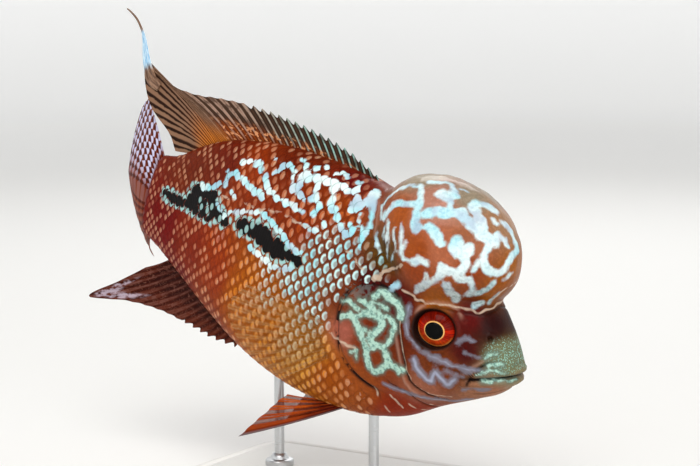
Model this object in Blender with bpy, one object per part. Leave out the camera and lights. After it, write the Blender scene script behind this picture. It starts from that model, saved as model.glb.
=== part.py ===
"""Flowerhorn cichlid, a life-size display model that swims nose down on a two-rod stand.

The fish is shaped straight first, in millimetres: s runs back from the snout, y to its left and z up
from the body axis. One field gives the flesh, rays cast from the axis find its surface, and pose()
bends the tail to the left, tips the nose down and turns the result into metres in the model's frame.
"""

import math

import bmesh
import bpy
import numpy as np
from mathutils import Matrix, Vector

MM = 0.001
GAP = 0.3  # kept between nodes that touch

# The flesh without the hump: distance behind the snout, then height or half width
BODY_LENGTH = 215.0
BACK_LINE = (
    (0, -3), (2, 0), (6, 5.5), (14, 14.5), (28, 26), (45, 34), (62, 41), (80, 45), (98, 46.5),
    (118, 46), (140, 43.5), (160, 38.5), (178, 31.5), (192, 23), (203, 15), (215, 10),
)
BELLY_LINE = (
    (0, -13), (3, -17), (12, -24), (28, -35), (42, -46), (60, -53.5), (80, -57.5), (100, -58.5),
    (120, -56.5), (139, -52.5), (158, -46.5), (175, -40.5), (190, -35.5), (203, -31.5), (215, -29.5),
)
HALF_WIDTH = (
    (0, 8), (4, 10.5), (12, 13), (25, 16), (40, 19), (58, 21.5), (78, 23), (100, 23), (122, 21),
    (145, 17), (165, 13), (182, 9.5), (198, 7), (215, 5),
)
SECTION_POWER = 2.3  # 2 would make every section an ellipse

# The nuchal hump, an egg that overhangs brow and nape
HUMP_CENTRE = (49.0, 0.0, 33.8)
HUMP_RADII = (34.8, 26.0, 27.2)
HUMP_TIP = 10.0  # degrees that its front end dips
HUMP_BLEND = 3.5
HUMP_SEAM = 1.2  # the seam's egg is larger than the hump's by this

# The mouth: lips follow half an ellipse that slopes down to its corners
MOUTH_TIP = (0.6, 0.0, -8.0)
MOUTH_CORNER = (17.0, 12.6, -15.0)
LIP_RADIUS = 2.5
LIP_SPREAD = 2.1  # each lip's centre line above or below the slit
LIP_BLEND = 1.4
JAW_BEHIND_CORNER = 1.5
JAW_SLANT = 5.0  # the jaw's lower rear corner lies this far behind its upper one
JAW_DEPTH = 48.0
JAW_FRONT = 12.0  # in front of the snout
CHEEK_CENTRE = (42.0, 13.5, -17.0)
CHEEK_RADII = (22.0, 8.5, 15.0)
CHEEK_BLEND = 6.0
NOSTRIL = (14.5, 10.0, 5.0)
NOSTRIL_RADIUS = 1.3

EYE_CENTRE = (35.0, 13.8, 1.5)
EYE_RADII = (9.4, 6.6, 8.4)
EYE_TURN = 11.0  # degrees that each eye looks forward

# The gill cover in side view, from the cheek's edge round to its free rear edge
COVER_OUTLINE = (
    (51, 5), (60, 9), (70, 8), (76, 1), (77.5, -8), (75.5, -18), (70, -27), (60, -33), (48, -34),
    (37, -29), (43, -24), (46.5, -15), (49, -5),
)
COVER_DEPTH = 14.5  # its flat inner face lies this far from the midline
COVER_RISE = 0.8
COVER_STEPS = 3  # points along each side of its outline

# Seams in side view: the shoulder's runs behind hump and gill cover, the stalk's is upright
SHOULDER_SEAM = (
    (92, 90), (89, 45), (82.5, 5), (79.8, -8), (77.3, -19), (72.5, -29.5), (64, -40), (58, -90),
)
STALK_START = 192.5

# Pose
NOSE_DOWN = 18.0
BEND_START = 62.0
BEND_DEGREES = 13.0  # the turn reached at the root of the tail fin
BEND_POWER = 1.3
FLICK_START = 200.0
FLICK_END = 262.0
FLICK_DEGREES = 42.0  # what the tail fin adds
TRAIL_FROM = 188.0  # dorsal and anal fins trail straight behind this
PIVOT_STATION = 88.0  # the station above the middle of the base
AXIS_HEIGHT = 98.0

# Fins
RAY_HALF = 0.62  # half thicknesses
MEMBRANE_HALF = 0.3
THINNEST_HALF = 0.27
TIP_HALF = 0.2
SPINE_NOTCH = 2.6  # how far the membrane's edge lies inside the tips of spines, then of rays
RAY_NOTCH = 0.7
ROOT_SUNK = 4.0
SWAY_FROM = 160.0  # dorsal and anal fins wave sideways behind this
SWAY = 5.0
TAIL_BELLY = 4.5  # the tail fin bellies out to the right, and over what height
TAIL_BELLY_HEIGHT = 80.0
TAIL_TWIST = (0.12, 0.33)  # how far its upper lobe leans right and its lower lobe left
FIN_BOW = 0.12  # how far rays bow, as a share of their length
TAIL_BOW = 0.4
PAIRED_BOW = 0.06
STALK_MIDDLE = -10.0  # the middle of the tail fin's root, and half its height
STALK_HALF = 14.5
DORSAL_ROOT = (87.0, 188.0)
DORSAL_RAYS = 27
DORSAL_SPINES = 0.62
DORSAL_EDGE = (
    (0.0, 92, 48.5), (0.1, 105, 52.5), (0.25, 124, 55), (0.42, 146, 55), (0.58, 168, 53),
    (0.7, 189, 49), (0.79, 205, 45.5), (0.85, 218, 45), (0.89, 229, 46.5), (0.915, 236, 50),
    (0.935, 239, 44.5), (0.95, 234, 36.5), (0.965, 226, 29.5), (0.98, 214, 23.5), (1.0, 206, 16),
)
# The long thread that ends the dorsal fin: distance behind the snout, height, half width
DORSAL_THREAD = (
    (225.5, 41, 2.2), (233, 43.5, 3.6), (239.2, 50, 2.9), (242.5, 54.5, 2.3), (245.5, 58.8, 1.5),
    (249.5, 62, 0.9), (256.2, 65, 0.7), (264, 66.3, 0.5), (268, 66.5, 0.35),
)
THREAD_HALF = 0.5
ANAL_ROOT = (137.0, 190.0)
ANAL_RAYS = 17
ANAL_SPINES = 0.4
ANAL_EDGE = (
    (0.0, 141, -57), (0.15, 155, -59), (0.35, 172, -59.5), (0.55, 192, -60.5), (0.72, 214, -65),
    (0.84, 239, -73), (0.92, 221, -58), (1.0, 206, -44),
)
TAIL_FIN_RAYS = 16
TAIL_FIN_EDGE = (
    (0.0, 238, 31), (0.12, 247, 24), (0.3, 252, 10), (0.5, 247, -6), (0.7, 240, -20),
    (0.88, 229, -34), (1.0, 217, -43),
)
PECTORAL_ROOT = ((79.5, 21.5, -15.5), (75.5, 20.5, -27.5))
PECTORAL_RAYS = 13
PECTORAL_SPLAY = 15.0
PECTORAL_FAN = ((0.0, 4, 43), (0.25, -8, 50), (0.5, -20, 46), (0.75, -32, 38), (1.0, -46, 28))
PELVIC_ROOT = ((67.5, 7.5, -51.0), (77.0, 5.5, -54.0))
PELVIC_RAYS = 6
PELVIC_SPLAY = 9.0
PELVIC_FAN = ((0.0, -38, 60), (0.2, -36, 53), (0.5, -30, 40), (1.0, -16, 24))

# Stand
BASE_SIZE = (150.0, 92.0, 8.0)
BASE_CORNER = 14.0
ROD_RADIUS = 2.3
ROD_STATIONS = (("front", 60.0), ("rear", 113.0))

# Mesh fineness
COLUMNS = 44
HEAD_RINGS = 20
HEAD_CENTRE = (50.0, 0.0, -4.0)
TRUNK_RINGS = 15
SECTION_SQUEEZE = 0.62  # draws the rays of a ring towards back and belly
OUTSIDE = 60.0  # farther from the midline than any flesh
IN_FRONT = -62.0  # farther forward than any flesh

SKIN = ("skin", (0.36, 0.12, 0.05), 0.4, 0.0)
HUMP_SKIN = ("hump skin", (0.55, 0.33, 0.24), 0.35, 0.0)
COVER_SKIN = ("gill cover skin", (0.40, 0.30, 0.24), 0.35, 0.0)
FIN_SKIN = ("fin membrane", (0.22, 0.09, 0.05), 0.45, 0.0)
CLEAR_FIN = ("clear fin membrane", (0.55, 0.36, 0.18), 0.4, 0.0)
EYE_RED = ("eye", (0.62, 0.06, 0.015), 0.1, 0.0)
STAND_PAINT = ("stand paint", (0.72, 0.71, 0.68), 0.55, 0.0)
STAND_STEEL = ("stand steel", (0.6, 0.6, 0.6), 0.3, 1.0)


def curve_through(stations):
    """A smooth function through (position, value) pairs."""
    x, y = np.array(stations, float).T
    slope = np.gradient(y, x)

    def value(at):
        at = np.clip(at, x[0], x[-1])
        i = np.clip(np.searchsorted(x, at) - 1, 0, len(x) - 2)
        step = x[i + 1] - x[i]
        t = (at - x[i]) / step
        rise = y[i] * (1 + 2 * t) * (1 - t) ** 2 + y[i + 1] * t * t * (3 - 2 * t)
        return rise + step * (slope[i] * t * (1 - t) ** 2 - slope[i + 1] * t * t * (1 - t))

    return value


back_line = curve_through(BACK_LINE)
belly_line = curve_through(BELLY_LINE)
half_width = curve_through(HALF_WIDTH)


def smooth_union(a, b, blend):
    share = np.clip(0.5 + 0.5 * (b - a) / blend, 0, 1)
    return b * (1 - share) + a * share - blend * share * (1 - share)


def egg_distance(p, centre, radii, tip=0.0):
    """About the distance from points to an ellipsoid whose front dips by tip degrees."""
    dip = math.radians(tip)
    across = np.array((
        (math.cos(dip), 0, -math.sin(dip)),
        (0, 1, 0),
        (math.sin(dip), 0, math.cos(dip)),
    ))
    q = (p - np.array(centre)) @ across / np.array(radii)
    far = np.linalg.norm(q, axis=1)
    return far * (far - 1) / np.maximum(np.linalg.norm(q / np.array(radii), axis=1), 1e-9)


def lip_line(side):
    """Points along a lip's centre line from corner to corner; side is 1 for the upper lip."""
    turn = np.radians(np.linspace(-90, 90, 13))
    run = MOUTH_CORNER[0] - MOUTH_TIP[0]
    s = MOUTH_TIP[0] + run * (1 - np.cos(turn))
    fall = (MOUTH_CORNER[2] - MOUTH_TIP[2]) * (s - MOUTH_TIP[0]) / run
    spread = side * LIP_SPREAD * (0.35 + 0.65 * np.cos(turn))
    return np.stack([s, MOUTH_CORNER[1] * np.sin(turn), MOUTH_TIP[2] + fall + spread], 1)


def distance_to_line(p, line):
    nearest = np.full(len(p), 1e9)
    for a, b in zip(line[:-1], line[1:]):
        run = b - a
        t = np.clip((p - a) @ run / (run @ run), 0, 1)
        nearest = np.minimum(nearest, np.linalg.norm(p - a - t[:, None] * run, axis=1))
    return nearest


def flesh(points):
    """The field of the whole fish without its fins: negative inside, in about millimetres."""
    p = points * (1, 0, 1) + np.abs(points) * (0, 1, 0)
    s, y, z = p.T
    top, bottom, width = back_line(s), belly_line(s), half_width(s)
    middle, half = (top + bottom) / 2, (top - bottom) / 2
    q = (y / width) ** SECTION_POWER + (np.abs(z - middle) / half) ** SECTION_POWER
    field = (q ** (1 / SECTION_POWER) - 1) * width
    field = np.maximum(np.maximum(field, 1.0 - s), s - BODY_LENGTH)
    field = smooth_union(field, egg_distance(p, CHEEK_CENTRE, CHEEK_RADII), CHEEK_BLEND)
    field = smooth_union(field, egg_distance(p, HUMP_CENTRE, HUMP_RADII, HUMP_TIP), HUMP_BLEND)
    for side in (1, -1):
        lip = distance_to_line(points, lip_line(side)) - LIP_RADIUS
        field = smooth_union(field, lip, LIP_BLEND)
    return field


def surface_along(origins, directions, reach=120.0):
    """Where rays from inside the fish leave it."""
    samples = np.linspace(0, reach, 61)
    near = np.zeros(len(origins))
    found = np.zeros(len(origins), bool)
    for step in samples[1:]:
        outside = flesh(origins + directions * step) > 0
        near = np.where(outside | found, near, step)
        found |= outside
    far = near + samples[1]
    for _ in range(18):
        middle = (near + far) / 2
        outside = flesh(origins + directions * middle[:, None]) > 0
        far = np.where(outside, middle, far)
        near = np.where(outside, near, middle)
    return origins + directions * near[:, None]


def bend_at(s):
    """The turn to the left, in radians, of the axis at station s."""
    share = np.clip((s - BEND_START) / (BODY_LENGTH - BEND_START), 0, 1)
    flick = np.clip((s - FLICK_START) / (FLICK_END - FLICK_START), 0, 1)
    flick = flick * flick * (3 - 2 * flick)
    return np.radians(BEND_DEGREES * share ** BEND_POWER + FLICK_DEGREES * flick)


BEND_STEPS = np.arange(-40.0, 340.0, 0.5)


def bent_axis(trail_from):
    """The axis's forward and left offsets and its turn at each of BEND_STEPS."""
    turn = bend_at(np.minimum(BEND_STEPS, trail_from))
    forward = -np.cumsum(np.cos(turn)) * 0.5
    left = np.cumsum(np.sin(turn)) * 0.5
    at_pivot = np.searchsorted(BEND_STEPS, PIVOT_STATION)
    return forward - forward[at_pivot], left - left[at_pivot], turn


def pose(points, trail_from=400.0):
    """Straight fish coordinates in millimetres to the model's frame in metres."""
    s, y, z = np.asarray(points, float).reshape(-1, 3).T
    forward, left, turn = bent_axis(trail_from)
    turn = np.interp(s, BEND_STEPS, turn)
    ahead = np.interp(s, BEND_STEPS, forward) + y * np.sin(turn)
    aside = np.interp(s, BEND_STEPS, left) + y * np.cos(turn)
    tip = math.radians(NOSE_DOWN)
    x = ahead * math.cos(tip) + z * math.sin(tip)
    up = -ahead * math.sin(tip) + z * math.cos(tip)
    return np.stack([x, aside, up + AXIS_HEIGHT], 1) * MM


def material(look):
    name, colour, roughness, metallic = look
    made = bpy.data.materials.get(name)
    if made is None:
        made = bpy.data.materials.new(name)
        made.use_nodes = True
        shader = made.node_tree.nodes["Principled BSDF"]
        shader.inputs["Base Color"].default_value = (*colour, 1.0)
        shader.inputs["Roughness"].default_value = roughness
        shader.inputs["Metallic"].default_value = metallic
    return made


def new_object(name, points, faces, look=SKIN):
    mesh = bpy.data.meshes.new(name)
    mesh.from_pydata([tuple(p) for p in points], [], [tuple(f) for f in faces])
    bm = bmesh.new()
    bm.from_mesh(mesh)
    bmesh.ops.triangulate(bm, faces=bm.faces)
    bmesh.ops.recalc_face_normals(bm, faces=bm.faces)
    bm.to_mesh(mesh)
    bm.free()
    made = bpy.data.objects.new(name, mesh)
    bpy.context.scene.collection.objects.link(made)
    mesh.materials.append(material(look))
    mesh.shade_smooth()
    mesh.set_sharp_from_angle(angle=math.radians(40))
    return made


def body_rays():
    """Origins and directions of the rays whose ends are the body's rings, snout to tail."""
    turn = np.linspace(0, 2 * math.pi, COLUMNS, endpoint=False)
    across = np.stack([np.zeros(COLUMNS), np.sin(turn) * SECTION_SQUEEZE, np.cos(turn)], 1)
    across /= np.linalg.norm(across, axis=1)[:, None]
    origins, directions = [], []
    for lean in np.radians(np.linspace(90 / HEAD_RINGS * 0.6, 90, HEAD_RINGS)):
        ring = across * math.sin(lean) - np.array((math.cos(lean), 0, 0))
        origins += [np.array(HEAD_CENTRE)] * COLUMNS
        directions += list(ring)
    for s in np.linspace(HEAD_CENTRE[0], BODY_LENGTH - 0.2, TRUNK_RINGS + 1)[1:]:
        middle = (back_line(s) + belly_line(s)) / 2
        origins += [np.array((s, 0.0, middle))] * COLUMNS
        directions += list(across)
    return np.array(origins), np.array(directions)


def skin_points():
    """The body's rings, then the middle of its snout and of its rear end, posed."""
    rings = surface_along(*body_rays())
    snout = surface_along(np.array([HEAD_CENTRE]), np.array([(-1.0, 0, 0)]))
    end = (BODY_LENGTH - 0.2, 0, (back_line(BODY_LENGTH) + belly_line(BODY_LENGTH)) / 2)
    return pose(np.concatenate([rings, snout, [end]]))


SKIN_POINTS = skin_points()


def whole_body(name, growth=0.0):
    """The body as one closed mesh; growth moves its skin out along its normals."""
    count = HEAD_RINGS + TRUNK_RINGS
    faces = []
    for ring in range(count - 1):
        for c in range(COLUMNS):
            a, b = ring * COLUMNS + c, ring * COLUMNS + (c + 1) % COLUMNS
            faces.append((a, b, b + COLUMNS, a + COLUMNS))
    first, last = count * COLUMNS, (count - 1) * COLUMNS
    for c in range(COLUMNS):
        after = (c + 1) % COLUMNS
        faces.append((first, after, c))
        faces.append((first + 1, last + c, last + after))
    made = new_object(name, SKIN_POINTS, faces)
    if growth:
        mesh = made.data
        moved = [v.co + v.normal * growth * MM for v in mesh.vertices]
        for vertex, place in zip(mesh.vertices, moved):
            vertex.co = place
    return made


def egg(name, centre, radii, segments=28, rings=18, turn=0.0, tip=0.0, look=SKIN):
    """A closed ellipsoid in the head, turned about z and then with its front end dipped."""
    points, faces = [], []
    spin = math.radians(turn)
    for j in range(1, rings):
        lean = math.pi * j / rings
        for i in range(segments):
            around = 2 * math.pi * i / segments
            out = radii[1] * math.cos(lean)
            along = radii[0] * math.sin(lean) * math.cos(around)
            up = radii[2] * math.sin(lean) * math.sin(around)
            points.append((along, out, up))
    points += [(0, radii[1], 0), (0, -radii[1], 0)]
    turned = np.array(points) @ np.array(Matrix.Rotation(spin, 3, "Z").transposed())
    turned = turned @ np.array(Matrix.Rotation(-math.radians(tip), 3, "Y").transposed())
    for j in range(rings - 2):
        for i in range(segments):
            a, b = j * segments + i, j * segments + (i + 1) % segments
            faces.append((a, b, b + segments, a + segments))
    poles, last = (rings - 1) * segments, (rings - 2) * segments
    for i in range(segments):
        after = (i + 1) % segments
        faces.append((poles, after, i))
        faces.append((poles + 1, last + i, last + after))
    return new_object(name, pose(turned + np.array(centre)), faces, look)


def prism(name, outline, low, high, grow=0.0):
    """A side-view outline carried across the fish from y low to y high."""
    flat = np.array(outline, float)
    run = np.roll(flat, -1, 0) - np.roll(flat, 1, 0)
    out = unit(np.stack([run[:, 1], -run[:, 0]], 1))
    area = np.sum(flat[:, 0] * np.roll(flat[:, 1], -1) - flat[:, 1] * np.roll(flat[:, 0], -1))
    flat = flat + out * grow * np.sign(area)
    count = len(flat)
    points = [(s, y, z) for y in (low - grow, high + grow) for s, z in flat]
    faces = [tuple(range(count)), tuple(range(count, 2 * count))]
    faces += [(i, (i + 1) % count, count + (i + 1) % count, count + i) for i in range(count)]
    return new_object(name, pose(points), faces)


def largest_piece(mesh):
    """Leaves only the closed surface with the most faces."""
    bm = bmesh.new()
    bm.from_mesh(mesh)
    left, pieces = set(bm.faces), []
    while left:
        piece, edge = set(), [left.pop()]
        while edge:
            face = edge.pop()
            piece.add(face)
            for neighbour in {f for e in face.edges for f in e.link_faces} & left:
                left.discard(neighbour)
                edge.append(neighbour)
        pieces.append(piece)
    keep = max(pieces, key=len)
    bmesh.ops.delete(bm, geom=[f for f in bm.faces if f not in keep], context="FACES")
    bmesh.ops.triangulate(bm, faces=bm.faces)
    bm.to_mesh(mesh)
    bm.free()


def combine(target, others, operation):
    """Cuts target by each other object, or keeps what they share, and removes the others."""
    for other in others:
        modifier = target.modifiers.new(operation, "BOOLEAN")
        modifier.operation = operation
        modifier.object = other
        modifier.solver = "EXACT"
    evaluated = target.evaluated_get(bpy.context.evaluated_depsgraph_get())
    mesh = bpy.data.meshes.new_from_object(evaluated)
    target.modifiers.clear()
    old, target.data = target.data, mesh
    mesh.name = target.name
    bpy.data.meshes.remove(old)
    largest_piece(mesh)
    for other in others:
        bpy.data.objects.remove(other)


def cut_seam(target, point, normal):
    """Keeps the side of a plane that its normal points to, and closes the cut."""
    bm = bmesh.new()
    bm.from_mesh(target.data)
    geometry = list(bm.verts) + list(bm.edges) + list(bm.faces)
    cut = bmesh.ops.bisect_plane(
        bm, geom=geometry, dist=1e-7, plane_co=point, plane_no=normal, clear_inner=True
    )
    edges = [e for e in cut["geom_cut"] if isinstance(e, bmesh.types.BMEdge)]
    bmesh.ops.triangle_fill(bm, use_beauty=True, use_dissolve=False, edges=edges)
    bmesh.ops.recalc_face_normals(bm, faces=bm.faces)
    bm.to_mesh(target.data)
    bm.free()


def across_fish(station):
    """A point on the axis at a station and the direction of the axis there."""
    here, ahead = (Vector(p) for p in pose([(station, 0, 0), (station + 1, 0, 0)]))
    return here, (ahead - here).normalized()


def front_block(name, shift):
    """Everything in front of the shoulder's seam, moved back by shift."""
    seam = [(s + shift, z) for s, z in SHOULDER_SEAM]
    outline = [(IN_FRONT, SHOULDER_SEAM[0][1]), *seam, (IN_FRONT, SHOULDER_SEAM[-1][1])]
    return prism(name, outline, -OUTSIDE, OUTSIDE)


def recolour(target, look):
    target.data.materials.clear()
    target.data.materials.append(material(look))


def part_flesh():
    """Head, hump, gill covers, lower jaw, torso and tail stalk, parted by thin seams."""
    stalk, rear = across_fish(STALK_START)
    torso = whole_body("torso")
    cut_seam(torso, stalk - rear * GAP / 2 * MM, -rear)
    combine(torso, [front_block("front", GAP / 2)], "DIFFERENCE")
    tail = whole_body("tail_stalk")
    cut_seam(tail, stalk + rear * GAP / 2 * MM, rear)

    head = whole_body("head")
    combine(head, [front_block("front", -GAP / 2)], "INTERSECT")
    hump = whole_body("nuchal_hump")
    seam = [r + HUMP_SEAM for r in HUMP_RADII]
    combine(hump, [egg("seam", HUMP_CENTRE, seam, tip=HUMP_TIP)], "INTERSECT")
    combine(hump, [front_block("front", -GAP / 2)], "INTERSECT")
    recolour(hump, HUMP_SKIN)
    cutters = [egg("socket", HUMP_CENTRE, [r + GAP for r in seam], tip=HUMP_TIP)]

    for side, word in ((1, "left"), (-1, "right")):
        inner, outer = sorted((side * COVER_DEPTH, side * OUTSIDE))
        cover = whole_body(f"gill_cover_{word}", COVER_RISE)
        combine(cover, [prism("cover outline", cover_outline(), inner, outer)], "INTERSECT")
        recolour(cover, COVER_SKIN)
        cutters.append(prism("cover seat", cover_outline(), inner, outer, GAP))
        centre = (EYE_CENTRE[0], side * EYE_CENTRE[1], EYE_CENTRE[2])
        egg(f"eye_{word}", centre, EYE_RADII, 24, 14, side * EYE_TURN, look=EYE_RED)
        socket = [r + GAP for r in EYE_RADII]
        cutters.append(egg("eye socket", centre, socket, 24, 14, side * EYE_TURN))
        pit = surface_along(np.array([HEAD_CENTRE]), unit(nostril_ray(side)))[0]
        cutters.append(egg("nostril", pit, [NOSTRIL_RADIUS] * 3, 10, 6))

    jaw = whole_body("lower_jaw")
    combine(jaw, [prism("jaw block", jaw_outline(0.0), -OUTSIDE, OUTSIDE)], "INTERSECT")
    cutters.append(prism("jaw seat", jaw_outline(GAP), -OUTSIDE - GAP, OUTSIDE + GAP))
    combine(head, cutters, "DIFFERENCE")


def cover_outline():
    """The gill cover's corners joined by a smooth closed line."""
    corners = np.array(COVER_OUTLINE, float)
    count = len(corners)
    smooth = []
    for i in range(count):
        before, here, after, beyond = (corners[(i + k) % count] for k in (-1, 0, 1, 2))
        for t in np.arange(COVER_STEPS) / COVER_STEPS:
            lead = (after - before) / 2
            trail = (beyond - here) / 2
            place = here * (1 + 2 * t) * (1 - t) ** 2 + after * t * t * (3 - 2 * t)
            smooth.append(place + lead * t * (1 - t) ** 2 - trail * t * t * (1 - t))
    return smooth


def nostril_ray(side):
    return np.array([(NOSTRIL[0], side * NOSTRIL[1], NOSTRIL[2])]) - np.array([HEAD_CENTRE])


def unit(vectors):
    return vectors / np.linalg.norm(vectors, axis=1)[:, None]


def jaw_outline(grow):
    """The lower jaw in side view: below the slit, as far back as the mouth's corner."""
    slope = (MOUTH_CORNER[2] - MOUTH_TIP[2]) / (MOUTH_CORNER[0] - MOUTH_TIP[0])
    front, rear = -JAW_FRONT, MOUTH_CORNER[0] + JAW_BEHIND_CORNER + grow
    return (
        (front, MOUTH_TIP[2] + slope * (front - MOUTH_TIP[0]) + grow),
        (rear, MOUTH_TIP[2] + slope * (rear - MOUTH_TIP[0]) + grow),
        (rear + JAW_SLANT, -JAW_DEPTH),
        (front, -JAW_DEPTH),
    )


def fin_solid(name, root, edge, rays, look, rows=6, spiny=0.0, trail=400.0, bow=FIN_BOW, wave=None):
    """A fin with one ridge for each ray, raised in its own surface.

    root and edge give straight coordinates for a share from first ray to last; bow bends the rays
    back, spiny is the share of rays whose tips stand out of the membrane, and wave moves the sheet
    sideways.
    """
    columns = 2 * rays - 1
    share = np.linspace(0, 1, columns)
    is_ray = np.arange(columns) % 2 == 0
    run = edge(share) - root(share)
    length = np.linalg.norm(run, axis=1)
    notch = np.where(is_ray, 0.0, np.where(share < spiny, SPINE_NOTCH, RAY_NOTCH))
    run *= (1 - notch / length)[:, None]
    t = np.linspace(0, 1, rows + 1)[:, None, None]
    sag = np.array((0.0, 0.0, 1.0)) * length[:, None] * bow
    sheet = root(share) + run * t + sag * t * (1 - t) * np.sign(run[:, 2:3])
    if wave is not None:
        sheet[:, :, 1] += wave(sheet) * t[:, :, 0]
    at_root = np.where(is_ray, RAY_HALF, MEMBRANE_HALF)
    thick = at_root + (TIP_HALF - at_root) * t[:, :, 0] ** 2
    thick[:-1] = np.maximum(thick[:-1], THINNEST_HALF)
    return solid_sheet(name, sheet, thick, trail, look)


def solid_sheet(name, sheet, half, trail, look):
    """A closed solid round a sheet of points, half as thick to each side as half says."""
    rows, columns = half.shape
    world = pose(sheet.reshape(-1, 3), trail).reshape(rows, columns, 3)
    normal = np.cross(np.gradient(world, axis=1), np.gradient(world, axis=0))
    normal /= np.linalg.norm(normal, axis=2)[:, :, None]
    offset = normal * half[:, :, None] * MM
    points = np.concatenate([(world + offset).reshape(-1, 3), (world - offset).reshape(-1, 3)])
    return new_object(name, points, sheet_faces(rows, columns), look)


def dorsal_thread():
    """The thread, a narrow ribbon rooted in the rear of the dorsal fin."""
    line = np.array(DORSAL_THREAD)
    run = np.gradient(line[:, :2], axis=0)
    across = unit(np.stack([-run[:, 1], run[:, 0]], 1)) * line[:, 2:]
    flat = line[:, None, :2] + across[:, None, :] * np.array((-1.0, 0.0, 1.0))[:, None]
    sheet = np.stack([flat[:, :, 0], 0 * flat[:, :, 0], flat[:, :, 1]], 2)
    sheet[:, :, 1] = soft_sway(sheet)
    half = np.linspace(THREAD_HALF, THINNEST_HALF, len(line))[:, None] * np.array((0.8, 1.0, 0.8))
    return solid_sheet("thread", sheet, half, TRAIL_FROM, FIN_SKIN)


def sheet_faces(rows, columns):
    """Triangles of a closed sheet, cut along the same diagonals on both faces."""
    back = rows * columns
    faces = []
    for r in range(rows - 1):
        for c in range(columns - 1):
            a, b = r * columns + c, r * columns + c + 1
            d, e = a + columns, b + columns
            corners = ((a, b, e), (a, e, d)) if c % 2 else ((a, b, d), (b, e, d))
            for face in corners:
                faces.append(face)
                faces.append(tuple(v + back for v in reversed(face)))
    rim = [c for c in range(columns)]
    rim += [r * columns + columns - 1 for r in range(1, rows)]
    rim += [(rows - 1) * columns + c for c in range(columns - 2, -1, -1)]
    rim += [r * columns for r in range(rows - 2, 0, -1)]
    for a, b in zip(rim, rim[1:] + rim[:1]):
        faces.append((b, a, a + back))
        faces.append((b, a + back, b + back))
    return faces


def midline_edge(stations):
    s_at = curve_through([(u, s) for u, s, _ in stations])
    z_at = curve_through([(u, z) for u, _, z in stations])
    return lambda u: np.stack([s_at(u), 0 * u, z_at(u)], 1)


def midline_root(ends, line, sink):
    def root(u):
        s = ends[0] + (ends[1] - ends[0]) * u
        return np.stack([s, 0 * u, line(s) + sink], 1)

    return root


def paired_fin(name, side, ends, fan, splay, rays, look, rows):
    """A pectoral or pelvic fin: rays fan out from a short root on the flank or belly."""
    angle_at = curve_through([(u, a) for u, a, _ in fan])
    length_at = curve_through([(u, r) for u, _, r in fan])
    low, high = (np.array((p[0], side * p[1], p[2])) for p in ends)
    away = math.radians(splay)

    def root(u):
        sunk = -ROOT_SUNK * direction(u)
        return low + (high - low) * u[:, None] + sunk

    def direction(u):
        angle = np.radians(angle_at(u))
        flat = math.cos(away)
        return np.stack([np.cos(angle) * flat, side * math.sin(away) + 0 * u, np.sin(angle) * flat], 1)

    def edge(u):
        return low + (high - low) * u[:, None] + direction(u) * length_at(u)[:, None]

    return fin_solid(name, root, edge, rays, look, rows, bow=PAIRED_BOW)


def soft_sway(sheet):
    """The slow wave of the dorsal and anal fins, one cycle in about 126 mm, strongest at the rear."""
    reach = np.clip((sheet[:, :, 0] - SWAY_FROM) / 90, 0, 1.2)
    return SWAY * reach * np.sin(sheet[:, :, 0] * 0.05)


def tail_wave(sheet):
    """The tail fin's belly towards the right, and the twist of its two lobes."""
    height = sheet[:, :, 2] - STALK_MIDDLE
    belly = TAIL_BELLY * np.cos(np.clip(height / TAIL_BELLY_HEIGHT, -0.55, 0.55) * math.pi)
    return -belly - np.where(height > 0, *TAIL_TWIST) * height


def tail_root(u):
    height = STALK_MIDDLE + STALK_HALF * (1 - 2 * u)
    return np.stack([BODY_LENGTH - ROOT_SUNK + 0 * u, 0 * u, height], 1)


def make_fins():
    """All fins, each trimmed to stand off the skin by the gap."""
    fins = [
        fin_solid(
            "dorsal_fin", midline_root(DORSAL_ROOT, back_line, -ROOT_SUNK), midline_edge(DORSAL_EDGE),
            DORSAL_RAYS, FIN_SKIN, 6, DORSAL_SPINES, TRAIL_FROM, wave=soft_sway,
        ),
        fin_solid(
            "anal_fin", midline_root(ANAL_ROOT, belly_line, ROOT_SUNK), midline_edge(ANAL_EDGE),
            ANAL_RAYS, FIN_SKIN, 6, ANAL_SPINES, TRAIL_FROM, wave=soft_sway,
        ),
        fin_solid(
            "tail_fin", tail_root, midline_edge(TAIL_FIN_EDGE),
            TAIL_FIN_RAYS, FIN_SKIN, 6, bow=TAIL_BOW, wave=tail_wave,
        ),
    ]
    combine(fins[0], [dorsal_thread()], "UNION")
    for side, word in ((1, "left"), (-1, "right")):
        fins.append(paired_fin(
            f"pectoral_fin_{word}", side, PECTORAL_ROOT, PECTORAL_FAN, PECTORAL_SPLAY,
            PECTORAL_RAYS, CLEAR_FIN, 5,
        ))
        fins.append(paired_fin(
            f"pelvic_fin_{word}", side, PELVIC_ROOT, PELVIC_FAN, PELVIC_SPLAY,
            PELVIC_RAYS, FIN_SKIN, 6,
        ))
    for fin in fins:
        combine(fin, [whole_body("skin and gap", GAP)], "DIFFERENCE")


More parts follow.
